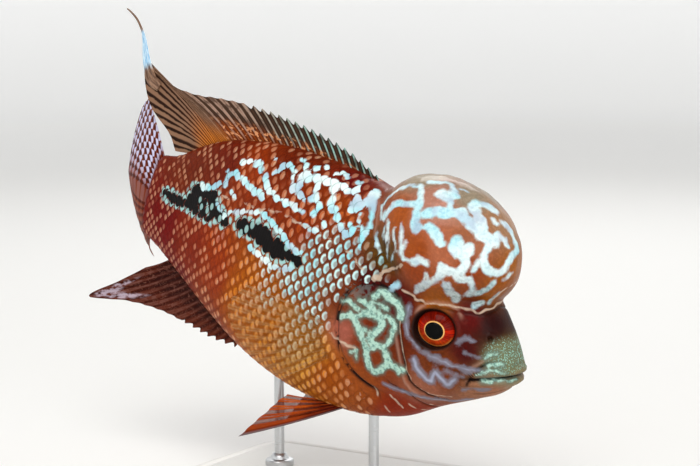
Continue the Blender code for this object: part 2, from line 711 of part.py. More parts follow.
def make_stand():
    """A flat base and two rods that meet the belly."""
    length, width, height = (v * MM for v in BASE_SIZE)
    corner = BASE_CORNER * MM
    outline = []
    for x, y, start in ((1, 1, 0), (-1, 1, 90), (-1, -1, 180), (1, -1, 270)):
        for step in range(7):
            angle = math.radians(start + 15 * step)
            outline.append((
                x * (length / 2 - corner) + corner * math.cos(angle),
                y * (width / 2 - corner) + corner * math.sin(angle),
            ))
    count = len(outline)
    points = [(x, y, z) for z in (0, height) for x, y in outline]
    faces = [tuple(range(count)), tuple(range(count, 2 * count))]
    faces += [(i, (i + 1) % count, count + (i + 1) % count, count + i) for i in range(count)]
    new_object("stand_base", points, faces, STAND_PAINT)
    for word, station in ROD_STATIONS:
        foot = Vector(pose([(station, 0, belly_line(station))])[0])
        bottom, top = height + GAP * MM, foot.z + 6 * MM
        bm = bmesh.new()
        bmesh.ops.create_cone(
            bm, cap_ends=True, segments=20, radius1=ROD_RADIUS * MM, radius2=ROD_RADIUS * MM,
            depth=top - bottom, matrix=Matrix.Translation((foot.x, foot.y, (top + bottom) / 2)),
        )
        points = [v.co.copy() for v in bm.verts]
        faces = [[v.index for v in f.verts] for f in bm.faces]
        bm.free()
        rod = new_object(f"stand_rod_{word}", points, faces, STAND_STEEL)
        combine(rod, [whole_body("skin and gap", GAP)], "DIFFERENCE")


def main():
    for old in list(bpy.data.objects):
        bpy.data.objects.remove(old)
    part_flesh()
    make_fins()
    make_stand()


main()
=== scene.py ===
"""Looks of the flowerhorn cichlid: skin, scales, fins, eyes and stand, in the frame of its solids.

The fish is shaped straight first, in millimetres: s runs back from the snout, y to its left and z up
from the body axis. pose() bends and tips it and turns it into metres.
"""

import math

import bmesh
import bpy
import numpy as np
from mathutils import Matrix, Vector


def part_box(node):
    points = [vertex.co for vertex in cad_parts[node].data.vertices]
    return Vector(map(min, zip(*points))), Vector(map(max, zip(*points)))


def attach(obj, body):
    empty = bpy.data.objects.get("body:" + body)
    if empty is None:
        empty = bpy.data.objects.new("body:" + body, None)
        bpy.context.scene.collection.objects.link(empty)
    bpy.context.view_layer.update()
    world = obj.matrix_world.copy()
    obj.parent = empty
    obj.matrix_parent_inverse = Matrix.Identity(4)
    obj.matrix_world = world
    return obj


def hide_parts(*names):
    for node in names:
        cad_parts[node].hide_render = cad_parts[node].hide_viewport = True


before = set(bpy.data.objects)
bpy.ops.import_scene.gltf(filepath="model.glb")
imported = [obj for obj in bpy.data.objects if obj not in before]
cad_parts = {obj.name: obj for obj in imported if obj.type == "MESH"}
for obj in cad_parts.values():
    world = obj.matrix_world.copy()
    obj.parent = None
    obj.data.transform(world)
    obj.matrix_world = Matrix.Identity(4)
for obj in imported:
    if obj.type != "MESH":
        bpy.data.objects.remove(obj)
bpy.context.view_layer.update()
MM = 0.001

# Sizes shared with the solids
BODY_LENGTH = 215.0
BACK_LINE = (
    (0, -3), (2, 0), (6, 5.5), (14, 14.5), (28, 26), (45, 34), (62, 41), (80, 45), (98, 46.5),
    (118, 46), (140, 43.5), (160, 38.5), (178, 31.5), (192, 23), (203, 15), (215, 10),
)
BELLY_LINE = (
    (0, -13), (3, -17), (12, -24), (28, -35), (42, -46), (60, -53.5), (80, -57.5), (100, -58.5),
    (120, -56.5), (139, -52.5), (158, -46.5), (175, -40.5), (190, -35.5), (203, -31.5), (215, -29.5),
)
HALF_WIDTH = (
    (0, 8), (4, 10.5), (12, 13), (25, 16), (40, 19), (58, 21.5), (78, 23), (100, 23), (122, 21),
    (145, 17), (165, 13), (182, 9.5), (198, 7), (215, 5),
)
SECTION_POWER = 2.3
HUMP_CENTRE = (49.0, 0.0, 33.8)
HUMP_RADII = (34.8, 26.0, 27.2)
HUMP_TIP = 10.0
HUMP_BLEND = 2.2
MOUTH_TIP = (0.6, 0.0, -8.0)
MOUTH_CORNER = (17.0, 12.6, -15.0)
LIP_RADIUS = 2.5
LIP_SPREAD = 2.1
LIP_BLEND = 1.0
CHEEK_CENTRE = (42.0, 13.5, -17.0)
CHEEK_RADII = (22.0, 8.5, 15.0)
CHEEK_BLEND = 6.0
NOSTRIL = (14.5, 10.0, 5.0)
NOSTRIL_RADIUS = 1.1
EYE_CENTRE = (35.0, 13.8, 1.5)
EYE_RADII = (9.4, 6.6, 8.4)
EYE_TURN = 11.0
EYE_MEAN = 9.0  # mean radius, for distances round the eye
COVER_OUTLINE = (
    (51, 5), (60, 9), (70, 8), (76, 1), (77.5, -8), (75.5, -18), (70, -27), (60, -33), (48, -34),
    (37, -29), (43, -24), (46.5, -15), (49, -5),
)
NOSE_DOWN = 18.0
BEND_START = 62.0
BEND_DEGREES = 13.0
BEND_POWER = 1.3
FLICK_START = 200.0
FLICK_END = 262.0
FLICK_DEGREES = 42.0
TRAIL_FROM = 188.0
PIVOT_STATION = 88.0
AXIS_HEIGHT = 98.0
HEAD_CENTRE = (50.0, 0.0, -4.0)
DORSAL_ROOT = (87.0, 188.0)
DORSAL_RAYS = 27
DORSAL_SPINES = 0.62
DORSAL_EDGE = (
    (0.0, 92, 48.5), (0.1, 105, 52.5), (0.25, 124, 55), (0.42, 146, 55), (0.58, 168, 53),
    (0.7, 189, 49), (0.79, 205, 45.5), (0.85, 218, 45), (0.89, 229, 46.5), (0.915, 236, 50),
    (0.935, 239, 44.5), (0.95, 234, 36.5), (0.965, 226, 29.5), (0.98, 214, 23.5), (1.0, 206, 16),
)
# the long thread that ends the dorsal fin: distance behind the snout, height, half width
DORSAL_THREAD = (
    (225.5, 41, 2.2), (233, 43.5, 3.6), (239.2, 50, 2.9), (242.5, 54.5, 2.3), (245.5, 58.8, 1.5),
    (249.5, 62, 0.9), (256.2, 65, 0.7), (264, 66.3, 0.5), (268, 66.5, 0.35),
)
ANAL_ROOT = (137.0, 190.0)
ANAL_RAYS = 17
ANAL_SPINES = 0.4
ANAL_EDGE = (
    (0.0, 141, -57), (0.15, 155, -59), (0.35, 172, -59.5), (0.55, 192, -60.5), (0.72, 214, -65),
    (0.84, 239, -73), (0.92, 221, -58), (1.0, 206, -44),
)
TAIL_FIN_RAYS = 16
TAIL_FIN_EDGE = (
    (0.0, 238, 31), (0.12, 247, 24), (0.3, 252, 10), (0.5, 247, -6), (0.7, 240, -20),
    (0.88, 229, -34), (1.0, 217, -43),
)
TAIL_BELLY = 4.5
TAIL_BELLY_HEIGHT = 80.0
TAIL_TWIST = (0.12, 0.33)  # lean of the upper and of the lower lobe
TAIL_BOW = 0.4
# how the dorsal and anal fins wave aside: how far, from where, over what run and how quickly
SWAY = 5.0
SWAY_FROM = 160.0
SWAY_RUN = 90.0
SWAY_RATE = 0.05
STALK_MIDDLE = -10.0
STALK_HALF = 14.5
PECTORAL_ROOT = ((79.5, 21.5, -15.5), (75.5, 20.5, -27.5))
PECTORAL_RAYS = 13
PECTORAL_SPLAY = 15.0
PECTORAL_FAN = ((0.0, 4, 43), (0.25, -8, 50), (0.5, -20, 46), (0.75, -32, 38), (1.0, -46, 28))
PELVIC_ROOT = ((67.5, 7.5, -51.0), (77.0, 5.5, -54.0))
PELVIC_RAYS = 6
PELVIC_SPLAY = 9.0
PELVIC_FAN = ((0.0, -38, 60), (0.2, -36, 53), (0.5, -30, 40), (1.0, -16, 24))
BASE_SIZE = (150.0, 92.0, 8.0)
BASE_CORNER = 14.0

# Camera, in metres and degrees, from the photograph's framing
PHOTO_SIZE = (700, 466)
CAMERA_PLACE = (0.464376, -0.747269, 0.231486)
CAMERA_AZIMUTH = 32.0
CAMERA_DOWN = 7.3
FOCAL_PIXELS = 2000.0

# Markings of the side that shows, and painted highlights on the lips: width, then places, both in pixels of
# the photograph
HUMP_WORMS = (
    (6, (384, 204), (391, 195), (399, 189), (409, 186), (420, 186)),
    (7, (421, 187), (421, 196), (419, 206), (417, 214)),
    (12, (416, 213), (415, 221), (417, 230)),
    (8, (420, 203), (410, 203), (400, 203), (393, 206), (387, 212), (384, 219)),
    (11, (424, 213), (437, 212), (450, 213), (461, 212)),
    (13, (462, 213), (470, 222), (478, 230), (485, 238), (495, 241)),
    (14, (441, 195), (447, 197), (453, 197)),
    (8, (450, 200), (450, 207), (449, 213)),
    (6, (430, 183), (441, 182), (451, 185), (455, 192)),
    (9, (471, 206), (480, 204), (489, 207), (497, 212)),
    (11, (472, 208), (478, 215), (483, 222), (484, 231)),
    (9, (496, 236), (489, 247), (484, 255), (483, 263), (489, 271), (498, 273), (505, 267), (510, 259),
     (516, 251)),
    (7, (502, 222), (508, 227), (512, 234), (515, 242), (518, 250)),
    (7, (498, 236), (505, 241), (508, 247)),
    (10, (428, 228), (434, 231), (438, 237), (441, 243)),
    (8, (413, 229), (422, 227), (431, 229)),
    (14, (457, 243), (455, 250), (463, 253), (468, 251)),
    (9, (467, 255), (465, 263), (460, 271)),
    (9, (445, 268), (455, 274), (461, 280)),
    (9, (443, 265), (441, 272), (435, 279), (428, 283), (420, 288), (416, 291)),
    (8, (463, 280), (470, 281), (472, 288), (470, 293)),
    (7, (468, 295), (478, 293), (486, 290), (494, 283)),
    (6, (405, 244), (400, 249), (401, 256), (406, 261), (412, 261)),
    (10, (413, 262), (420, 260), (426, 263)),
    (11, (445, 287), (449, 292), (456, 298)),
    (7, (474, 305), (482, 302)),
    (8, (391, 287), (398, 284)),
    (5, (427, 273), (423, 279)),
    (6, (490, 301), (498, 294)),
    (6, (478, 262), (474, 270)),
    (5, (460, 188), (467, 192)),
    (6, (503, 281), (510, 274)),
    (5, (492, 219), (497, 224)),
)
HUMP_RIM = (
    (2.2, (402, 289), (412, 295), (418, 300), (430, 303), (445, 305), (460, 308), (470, 311), (480, 312),
     (490, 309), (500, 303), (508, 297)),
    (2, (493, 299), (500, 293), (508, 287), (516, 282), (520, 273)),
    (4, (402, 263), (394, 267), (386, 272), (379, 277), (373, 280)),
)
FLANK_WORMS = (
    (7, (242, 164), (249, 160), (256, 164), (262, 163), (262, 172)),
    (8, (235, 174), (243, 180), (250, 187), (256, 192), (263, 197)),
    (6, (228, 172), (229, 180), (225, 186)),
    (8, (203, 187), (212, 187), (220, 184)),
    (8, (265, 175), (267, 184), (272, 192), (278, 199), (288, 203), (296, 208), (303, 213)),
    (6, (273, 175), (281, 171), (284, 165), (291, 166), (295, 172), (294, 178)),
    (6, (275, 158), (279, 160)),
    (6, (304, 160), (307, 166), (304, 173), (304, 179)),
    (8, (292, 188), (300, 184), (306, 179), (316, 178), (324, 181), (333, 182)),
    (7, (294, 190), (301, 195), (304, 199)),
    (7, (318, 184), (316, 195), (319, 204), (318, 212), (313, 216)),
    (6, (308, 198), (314, 199)),
    (7, (333, 182), (334, 192), (333, 202), (331, 208)),
    (7, (334, 206), (337, 214), (338, 222), (343, 230), (349, 235), (351, 227)),
    (7, (336, 175), (343, 174), (350, 178)),
    (8, (336, 184), (344, 188), (350, 192), (357, 191), (360, 186), (361, 182)),
    (10, (352, 207), (360, 203), (368, 202), (374, 197), (375, 191)),
    (6, (358, 196), (357, 202)),
    (6, (361, 206), (359, 214)),
    (7, (374, 200), (372, 212), (371, 222), (367, 233)),
    (6, (359, 222), (361, 230), (362, 238), (361, 248)),
    (6, (316, 169), (319, 169)),
    (5, (326, 165), (329, 169)),
    (5, (382, 206), (381, 218)),
    (5, (378, 232), (376, 240), (377, 246)),
    (6, (389, 224), (387, 233), (386, 240)),
    (6, (401, 222), (402, 232), (401, 240)),
    (4, (395, 226), (394, 236), (395, 246)),
    (4, (384, 226), (383, 238)),
    (4, (388, 246), (386, 258)),
    (3.5, (396, 250), (393, 261)),
    (3.5, (380, 252), (378, 264)),
    (3.5, (403, 246), (402, 255)),
    (6, (232, 192), (236, 198)),
    (6, (218, 204), (222, 212)),
    (6, (224, 218), (232, 214), (242, 211), (252, 213), (262, 214)),
    (7, (264, 214), (271, 221), (279, 231), (287, 242), (294, 250), (302, 254)),
    (7, (249, 246), (258, 253), (266, 261), (278, 268), (292, 268)),
    (5, (302, 224), (311, 229), (320, 231)),
    (5, (324, 222), (326, 227)),
)
BLOTCHES = (
    (16, (241, 226), (250, 229), (259, 232)),
    (21, (262, 235), (270, 243), (279, 250)),
    (11, (282, 252), (291, 257), (299, 262)),
    (12, (196, 190), (206, 193), (216, 198)),
    (21, (192, 202), (200, 206), (210, 212)),
    (14, (212, 204), (219, 213), (225, 221)),
    (10, (166, 194), (174, 198), (184, 203)),
)
BLOTCH_DROPS = (
    (5, (207, 204), (209, 215)),
    (4, (198, 206), (199, 212)),
    (4, (217, 200), (218, 206)),
    (3, (275, 234), (276, 238)),
)
HEAD_LOOPS_AND_LIP_HIGHLIGHTS = (
    (6, (341, 316), (350, 315), (356, 321), (360, 331), (363, 341), (367, 350), (367, 360), (371, 369),
     (378, 371), (387, 366)),
    (6, (356, 318), (366, 314), (375, 316), (382, 323), (377, 332), (371, 338), (373, 345), (380, 346),
     (386, 353), (389, 361), (394, 367), (401, 371)),
    (5, (380, 315), (388, 317), (393, 325), (392, 335), (388, 343), (382, 347)),
    (6, (374, 296), (382, 292), (389, 297), (396, 303), (400, 310), (401, 317)),
    (5, (360, 299), (368, 305), (375, 310), (380, 314)),
    (4, (344, 300), (352, 304), (358, 310)),
    # painted highlights along the ridges of the lips, in the loops' mint
    (2.5, (486, 358), (492, 354), (497, 353)),
    (2.5, (488, 366), (495, 364), (503, 365)),
    (2.5, (478, 375), (486, 371), (496, 371), (506, 373)),
    (2, (482, 381), (494, 380), (506, 381), (516, 380)),
    (3, (351, 352), (357, 350), (356, 358)),
    (3, (364, 328), (369, 333), (367, 341)),
    (3, (371, 303), (379, 304), (387, 309)),
)
LAVENDER_BANDS = (
    (6, (409, 306), (406, 318), (407, 330), (412, 341), (421, 350), (431, 356), (442, 361), (452, 366),
     (464, 369), (475, 370), (484, 371)),
    (8, (413, 360), (418, 369), (425, 378), (431, 381)),
    (8, (431, 381), (435, 373), (441, 378), (447, 385), (455, 379)),
    (6, (384, 384), (393, 388), (403, 391), (413, 395), (425, 398), (440, 400), (455, 401), (470, 399)),
    (5, (463, 390), (475, 389), (488, 389)),
    (5, (457, 343), (465, 339), (473, 341)),
    (4, (465, 352), (472, 356), (480, 358)),
    (3, (440, 372), (452, 373), (462, 377)),
)
FINE_STROKES = (
    (1.2, (400, 322), (401, 335), (403, 350), (406, 365), (409, 375), (415, 384), (425, 391), (437, 395),
     (452, 397)),
    (2.5, (330, 333), (338, 340), (347, 345), (356, 348)),
    (2.0, (390, 395), (397, 402), (403, 408)),
    (2.0, (408, 403), (416, 408), (428, 410)),
    (2.0, (372, 385), (378, 392), (376, 400)),
    (2.0, (360, 394), (366, 400)),
    (2.0, (384, 405), (390, 412)),
    (2.0, (345, 378), (352, 385)),
    (2.0, (430, 404), (440, 406)),
)
# folds and ridges of the head: height in millimetres, half width, then places in pixels
CREASES = (
    (-0.75, 0.65, (497, 363), (486, 365), (477, 371), (470, 379), (466, 387)),
    (0.35, 0.7, (494, 359), (484, 361), (474, 367), (466, 376)),
    (-0.7, 0.6, (397, 316), (400, 335), (402, 350), (405, 365), (408, 377), (414, 386), (424, 393),
     (438, 398), (453, 400)),
    (0.4, 0.7, (393, 318), (396, 335), (398, 351), (401, 366), (404, 379), (411, 389), (422, 397)),
    (-0.5, 0.6, (384, 378), (395, 386), (408, 393), (424, 404), (440, 407)),
    (-0.35, 0.5, (372, 384), (378, 392), (381, 402)),
    (-0.35, 0.5, (392, 396), (399, 403), (406, 410)),
    (-0.35, 0.5, (358, 386), (364, 394), (368, 402)),
    (0.5, 0.9, (414, 316), (420, 308), (431, 303), (446, 304), (458, 311), (464, 322)),
    (-0.4, 0.6, (410, 322), (410, 332), (415, 342), (424, 350), (436, 355), (448, 354)),
    (-0.3, 0.6, (424, 358), (440, 366), (456, 371), (468, 375)),
    (-0.3, 0.5, (470, 394), (485, 394), (500, 391), (512, 387)),
    (0.5, 0.9, (329, 331), (338, 339), (347, 345), (357, 348)),
    (-0.4, 0.6, (402, 292), (412, 298), (430, 306), (448, 309), (464, 313), (480, 315), (492, 312),
     (508, 301)),
    (0.35, 0.8, (378, 196), (379, 210), (377, 224), (374, 238)),
    (-0.35, 0.7, (384, 210), (384, 224), (382, 238), (384, 250)),
    (0.3, 0.7, (390, 222), (389, 236), (388, 248)),
    (-0.3, 0.7, (395, 226), (394, 240), (393, 252)),
    (-0.4, 0.8, (404, 264), (394, 270), (384, 276), (374, 283)),
)
LATERAL_LINE = (
    (224, 197), (236, 201), (248, 204), (258, 208), (269, 211), (279, 213), (290, 218), (300, 223),
    (309, 227), (322, 234), (333, 241), (345, 249), (355, 258), (362, 268), (370, 280),
)
SHEEN_LIFT = 0.026  # what the gloss adds to a colour, and the share of it that the light gives back
LIGHT_SHARE = 0.88
# zones of the skin's ground colour: place in pixels, reach in millimetres, colour as seen
GROUND = (
    (440, 250, 9, (170, 105, 78)), (432, 203, 8, (176, 128, 112)), (470, 240, 8, (158, 102, 74)),
    (425, 178, 6, (150, 140, 118)), (470, 198, 6, (150, 140, 122)), (505, 225, 7, (165, 130, 100)),
    (440, 297, 6, (146, 86, 26)), (495, 296, 6, (142, 86, 24)), (420, 250, 7, (158, 82, 44)),
    (415, 275, 7, (150, 74, 32)), (500, 285, 6, (150, 88, 36)),
    (519, 262, 5, (158, 98, 46)), (398, 213, 6, (162, 88, 48)), (470, 270, 6, (142, 72, 22)),
    (495, 325, 10, (58, 18, 0)), (470, 318, 7, (96, 44, 10)), (508, 345, 6, (96, 78, 52)),
    (500, 357, 6, (118, 110, 84)), (465, 350, 6, (82, 44, 30)), (440, 368, 7, (110, 62, 42)),
    (490, 390, 7, (158, 112, 88)), (515, 378, 5, (136, 124, 96)),
    (500, 383, 4, (146, 124, 98)), (486, 379, 4, (136, 118, 96)), (505, 368, 4, (124, 120, 92)),
    (425, 388, 6, (148, 98, 80)),
    (398, 300, 7, (84, 18, 8)), (402, 340, 6, (100, 54, 38)), (400, 412, 8, (138, 58, 18)),
    (365, 345, 8, (128, 66, 46)), (378, 330, 6, (112, 56, 38)), (345, 330, 6, (165, 100, 86)),
    (352, 385, 8, (152, 84, 50)), (388, 255, 7, (92, 72, 44)), (372, 285, 7, (84, 20, 8)),
    (330, 380, 9, (162, 88, 42)), (300, 345, 12, (170, 112, 52)), (265, 320, 12, (172, 98, 34)),
    (240, 300, 10, (168, 92, 34)), (215, 270, 10, (150, 66, 18)), (190, 245, 10, (134, 56, 16)),
    (165, 220, 8, (116, 44, 14)), (162, 240, 7, (116, 44, 12)), (180, 275, 8, (112, 38, 10)),
    (210, 310, 8, (140, 66, 18)), (300, 215, 9, (136, 62, 32)), (270, 205, 8, (132, 60, 28)),
    (250, 172, 8, (146, 66, 20)), (340, 205, 8, (140, 68, 34)), (300, 160, 8, (112, 54, 24)),
    (230, 160, 8, (112, 52, 20)), (190, 175, 8, (116, 56, 22)), (350, 185, 7, (108, 44, 20)),
    (340, 260, 8, (128, 76, 58)), (310, 280, 9, (140, 92, 66)), (345, 300, 8, (120, 66, 48)),
)
# frosted places of the flank: place and reach in pixels, then strength
PALE_FLANK = (
    (330, 262, 42, 1.0), (300, 280, 34, 1.0), (355, 290, 36, 1.0), (380, 300, 24, 0.9), (270, 270, 24, 0.7),
    (385, 250, 26, 0.7), (250, 300, 30, 0.45), (300, 330, 44, 0.55), (290, 370, 40, 0.35),
    (220, 235, 24, 0.4), (375, 215, 20, 0.5), (268, 298, 30, 0.6), (312, 312, 34, 0.75),
    (288, 342, 36, 0.5), (262, 330, 26, 0.4),
)
SPECKLED_LIP = (503, 358)
PIXEL = 0.43  # millimetres that a pixel spans on the fish
FAR = 6.0  # how far from a stroke its distance is followed
JUMP = 9.0  # a longer step along a stroke breaks it
EYE_FAR = 30.0  # stands for the distance to the eye where there is none

# Fineness of the skin: points round a ring, then rings of head, neck and trunk
COLUMNS = 268
HEAD_RINGS = 206
NECK_RINGS = 56
TRUNK_RINGS = 92
NECK_LENGTH = 31.0
SECTION_SQUEEZE = 0.62
SKIN_END = BODY_LENGTH - 0.2


def eased(t, first, last, lead, trail):
    """A cubic from first to last whose slopes at its ends are lead and trail."""
    rise = first * (1 + 2 * t) * (1 - t) ** 2 + last * t * t * (3 - 2 * t)
    return rise + lead * t * (1 - t) ** 2 - trail * t * t * (1 - t)


def curve_through(stations):
    """A smooth function through (position, value) pairs."""
    x, y = np.array(stations, float).T
    slope = np.gradient(y, x)

    def value(at):
        at = np.clip(at, x[0], x[-1])
        i = np.clip(np.searchsorted(x, at) - 1, 0, len(x) - 2)
        step = x[i + 1] - x[i]
        return eased((at - x[i]) / step, y[i], y[i + 1], step * slope[i], step * slope[i + 1])

    return value


def curves_through(stations):
    """Smooth functions of each station's first number, one for each number after it."""
    first, *others = zip(*stations)
    return [curve_through(list(zip(first, numbers))) for numbers in others]


back_line = curve_through(BACK_LINE)
belly_line = curve_through(BELLY_LINE)
half_width = curve_through(HALF_WIDTH)


def smooth_step(low, high, value):
    """Goes smoothly from 0 at low to 1 at high, whichever of them is the larger."""
    t = np.clip((value - low) / (high - low), 0, 1)
    return t * t * (3 - 2 * t)


def swell(value, middle, half):
    """A smooth bump, 1 at middle and nearly gone at twice half from it."""
    return np.exp(-((value - middle) / half) ** 2)


def unit(vectors):
    """Vectors of length 1."""
    return vectors / np.maximum(np.linalg.norm(vectors, axis=-1, keepdims=True), 1e-12)


def smooth_union(a, b, blend):
    """The lesser of two fields, rounded over where they meet."""
    share = np.clip(0.5 + 0.5 * (b - a) / blend, 0, 1)
    return b * (1 - share) + a * share - blend * share * (1 - share)


def egg_distance(p, centre, radii, tip=0.0):
    """About the distance from points to an ellipsoid whose front dips by tip degrees."""
    dip = math.radians(tip)
    across = np.array((
        (math.cos(dip), 0, -math.sin(dip)),
        (0, 1, 0),
        (math.sin(dip), 0, math.cos(dip)),
    ))
    q = (p - np.array(centre)) @ across / np.array(radii)
    far = np.linalg.norm(q, axis=1)
    return far * (far - 1) / np.maximum(np.linalg.norm(q / np.array(radii), axis=1), 1e-9)


def lip_line(side):
    """Points along a lip's centre line from corner to corner; side is 1 for the upper lip."""
    turn = np.radians(np.linspace(-90, 90, 13))
    run = MOUTH_CORNER[0] - MOUTH_TIP[0]
    s = MOUTH_TIP[0] + run * (1 - np.cos(turn))
    fall = (MOUTH_CORNER[2] - MOUTH_TIP[2]) * (s - MOUTH_TIP[0]) / run
    spread = side * LIP_SPREAD * (0.35 + 0.65 * np.cos(turn))
    return np.stack([s, MOUTH_CORNER[1] * np.sin(turn), MOUTH_TIP[2] + fall + spread], 1)


def distance_to_line(p, line):
    """Distance from points to a line of straight pieces, in any number of dimensions."""
    nearest = np.full(len(p), 1e9)
    for a, b in zip(line[:-1], line[1:]):
        run = b - a
        t = np.clip((p - a) @ run / (run @ run), 0, 1)
        nearest = np.minimum(nearest, np.linalg.norm(p - a - t[:, None] * run, axis=1))
    return nearest


def flesh(points):
    """The field of the whole fish without its fins: negative inside, in about millimetres."""
    p = points * (1, 0, 1) + np.abs(points) * (0, 1, 0)
    s, y, z = p.T
    top, bottom, width = back_line(s), belly_line(s), half_width(s)
    middle, half = (top + bottom) / 2, (top - bottom) / 2
    q = (y / width) ** SECTION_POWER + (np.abs(z - middle) / half) ** SECTION_POWER
    field = (q ** (1 / SECTION_POWER) - 1) * width
    field = np.maximum(np.maximum(field, 1.0 - s), s - BODY_LENGTH)
    field = smooth_union(field, egg_distance(p, CHEEK_CENTRE, CHEEK_RADII), CHEEK_BLEND)
    field = smooth_union(field, egg_distance(p, HUMP_CENTRE, HUMP_RADII, HUMP_TIP), HUMP_BLEND)
    near = np.nonzero(s < MOUTH_CORNER[0] + 8)[0]
    for side in (1, -1):
        lip = distance_to_line(points[near], lip_line(side)) - LIP_RADIUS
        field[near] = smooth_union(field[near], lip, LIP_BLEND)
    return field


def surface_along(origins, directions, reach=110.0, steps=44, halvings=14):
    """Where rays from inside the fish leave it."""
    samples = np.linspace(0, reach, steps + 1)
    near = np.zeros(len(origins))
    searching = np.arange(len(origins))
    for step in samples[1:]:
        outside = flesh(origins[searching] + directions[searching] * step) > 0
        searching = searching[~outside]
        near[searching] = step
        if not len(searching):
            break
    far = near + samples[1]
    for _ in range(halvings):
        middle = (near + far) / 2
        outside = flesh(origins + directions * middle[:, None]) > 0
        far = np.where(outside, middle, far)
        near = np.where(outside, near, middle)
    return origins + directions * near[:, None]


def bend_at(s):
    """The turn to the left, in radians, of the axis at station s."""
    share = np.clip((s - BEND_START) / (BODY_LENGTH - BEND_START), 0, 1)
    flick = smooth_step(FLICK_START, FLICK_END, s)
    return np.radians(BEND_DEGREES * share ** BEND_POWER + FLICK_DEGREES * flick)


BEND_STEP = 0.5
BEND_STEPS = np.arange(-40.0, 340.0, BEND_STEP)
STRAIGHT_FROM = 400.0


def bent_axis(trail_from):
    """The axis's forward and left offsets and its turn at each of BEND_STEPS."""
    turn = bend_at(np.minimum(BEND_STEPS, trail_from))
    forward = -np.cumsum(np.cos(turn)) * BEND_STEP
    left = np.cumsum(np.sin(turn)) * BEND_STEP
    at_pivot = np.searchsorted(BEND_STEPS, PIVOT_STATION)
    return forward - forward[at_pivot], left - left[at_pivot], turn


def pose(points, trail_from=STRAIGHT_FROM):
    """Straight fish coordinates in millimetres to the model's frame in metres.

    Past trail_from the axis keeps its turn and runs straight on.
    """
    s, y, z = np.asarray(points, float).reshape(-1, 3).T
    forward, left, turn = bent_axis(trail_from)
    turn = np.interp(s, BEND_STEPS, turn)
    ahead = np.interp(s, BEND_STEPS, forward) + y * np.sin(turn)
    aside = np.interp(s, BEND_STEPS, left) + y * np.cos(turn)
    tip = math.radians(NOSE_DOWN)
    x = ahead * math.cos(tip) + z * math.sin(tip)
    up = -ahead * math.sin(tip) + z * math.cos(tip)
    return np.stack([x, aside, up + AXIS_HEIGHT], 1) * MM


# Shader helpers
class Value:
    """A shader socket that adds Math nodes when it is used in an expression."""

    def __init__(self, tree, socket):
        self.tree = tree
        self.socket = socket

    def node(self, kind, settings=None, out=0, **sockets):
        """Adds a node: its settings first, then its sockets; returns one of its outputs.

        A socket is given by its name, or by its number after an underscore.
        """
        made = self.tree.nodes.new(kind)
        for key, setting in (settings or {}).items():
            setattr(made, key, setting)
        for key, value in sockets.items():
            socket = made.inputs[int(key[1:]) if key[0] == "_" else key.replace("_", " ")]
            if isinstance(value, Value):
                self.tree.links.new(value.socket, socket)
            elif isinstance(value, list):
                for each in value:
                    self.tree.links.new(each.socket, socket)
            elif isinstance(value, tuple) and socket.type == "RGBA" and len(value) == 3:
                socket.default_value = (*value, 1.0)
            else:
                socket.default_value = value
        return Value(self.tree, made.outputs[out])

    def math(self, operation, *others):
        """This value put through a Math node, with the others as its further inputs."""
        sockets = {f"_{i}": value for i, value in enumerate((self, *others))}
        return self.node("ShaderNodeMath", {"operation": operation}, **sockets)

    def vector_math(self, operation, *others, out=0, **named):
        """The same for a vector or a colour and a Vector Math node."""
        sockets = {f"_{i}": value for i, value in enumerate((self, *others))}
        return self.node("ShaderNodeVectorMath", {"operation": operation}, out, **sockets, **named)

    def __add__(self, other):
        return self.math("ADD", other)

    __radd__ = __add__

    def __sub__(self, other):
        return self.math("SUBTRACT", other)

    def __rsub__(self, other):
        return self.node("ShaderNodeMath", {"operation": "SUBTRACT"}, _0=other, _1=self)

    def __mul__(self, other):
        return self.math("MULTIPLY", other)

    __rmul__ = __mul__

    def __pow__(self, power):
        return self.math("POWER", power)

    def squared(self):
        return self * self

    def clip(self):
        """This value kept between 0 and 1."""
        return self.node("ShaderNodeClamp", _0=self)

    def above(self, edge, soft):
        """Rises smoothly from 0 to 1 where the value passes edge, over a width of soft."""
        settings = {"interpolation_type": "SMOOTHSTEP"}
        return self.node(
            "ShaderNodeMapRange", settings, Value=self, From_Min=edge - soft / 2, From_Max=edge + soft / 2,
        )

    def below(self, edge, soft):
        """Falls smoothly from 1 to 0 where the value passes edge, over a width of soft."""
        return 1 - self.above(edge, soft)

    def blend(self, first, second):
        """Mixes two colours, with this value as the share of the second."""
        return self.node("ShaderNodeMix", {"data_type": "RGBA"}, out=2, _0=self, _6=first, _7=second)

    def tint(self, by):
        """This colour with each of its parts multiplied."""
        return self.vector_math("MULTIPLY", by)

    def parts(self):
        """The three numbers of this vector."""
        node = self.node("ShaderNodeSeparateXYZ", _0=self).socket.node
        return [Value(self.tree, output) for output in node.outputs]

    def vector(self, x, y, z=0.0):
        """A vector made from three numbers or values."""
        return self.node("ShaderNodeCombineXYZ", _0=x, _1=y, _2=z)

    def noise(self, scale, detail=2.0, rough=0.5, warp=0.0):
        """Soft noise at this place, from 0 to 1."""
        return self.node(
            "ShaderNodeTexNoise", Vector=self, Scale=scale, Detail=detail, Roughness=rough, Distortion=warp,
        )


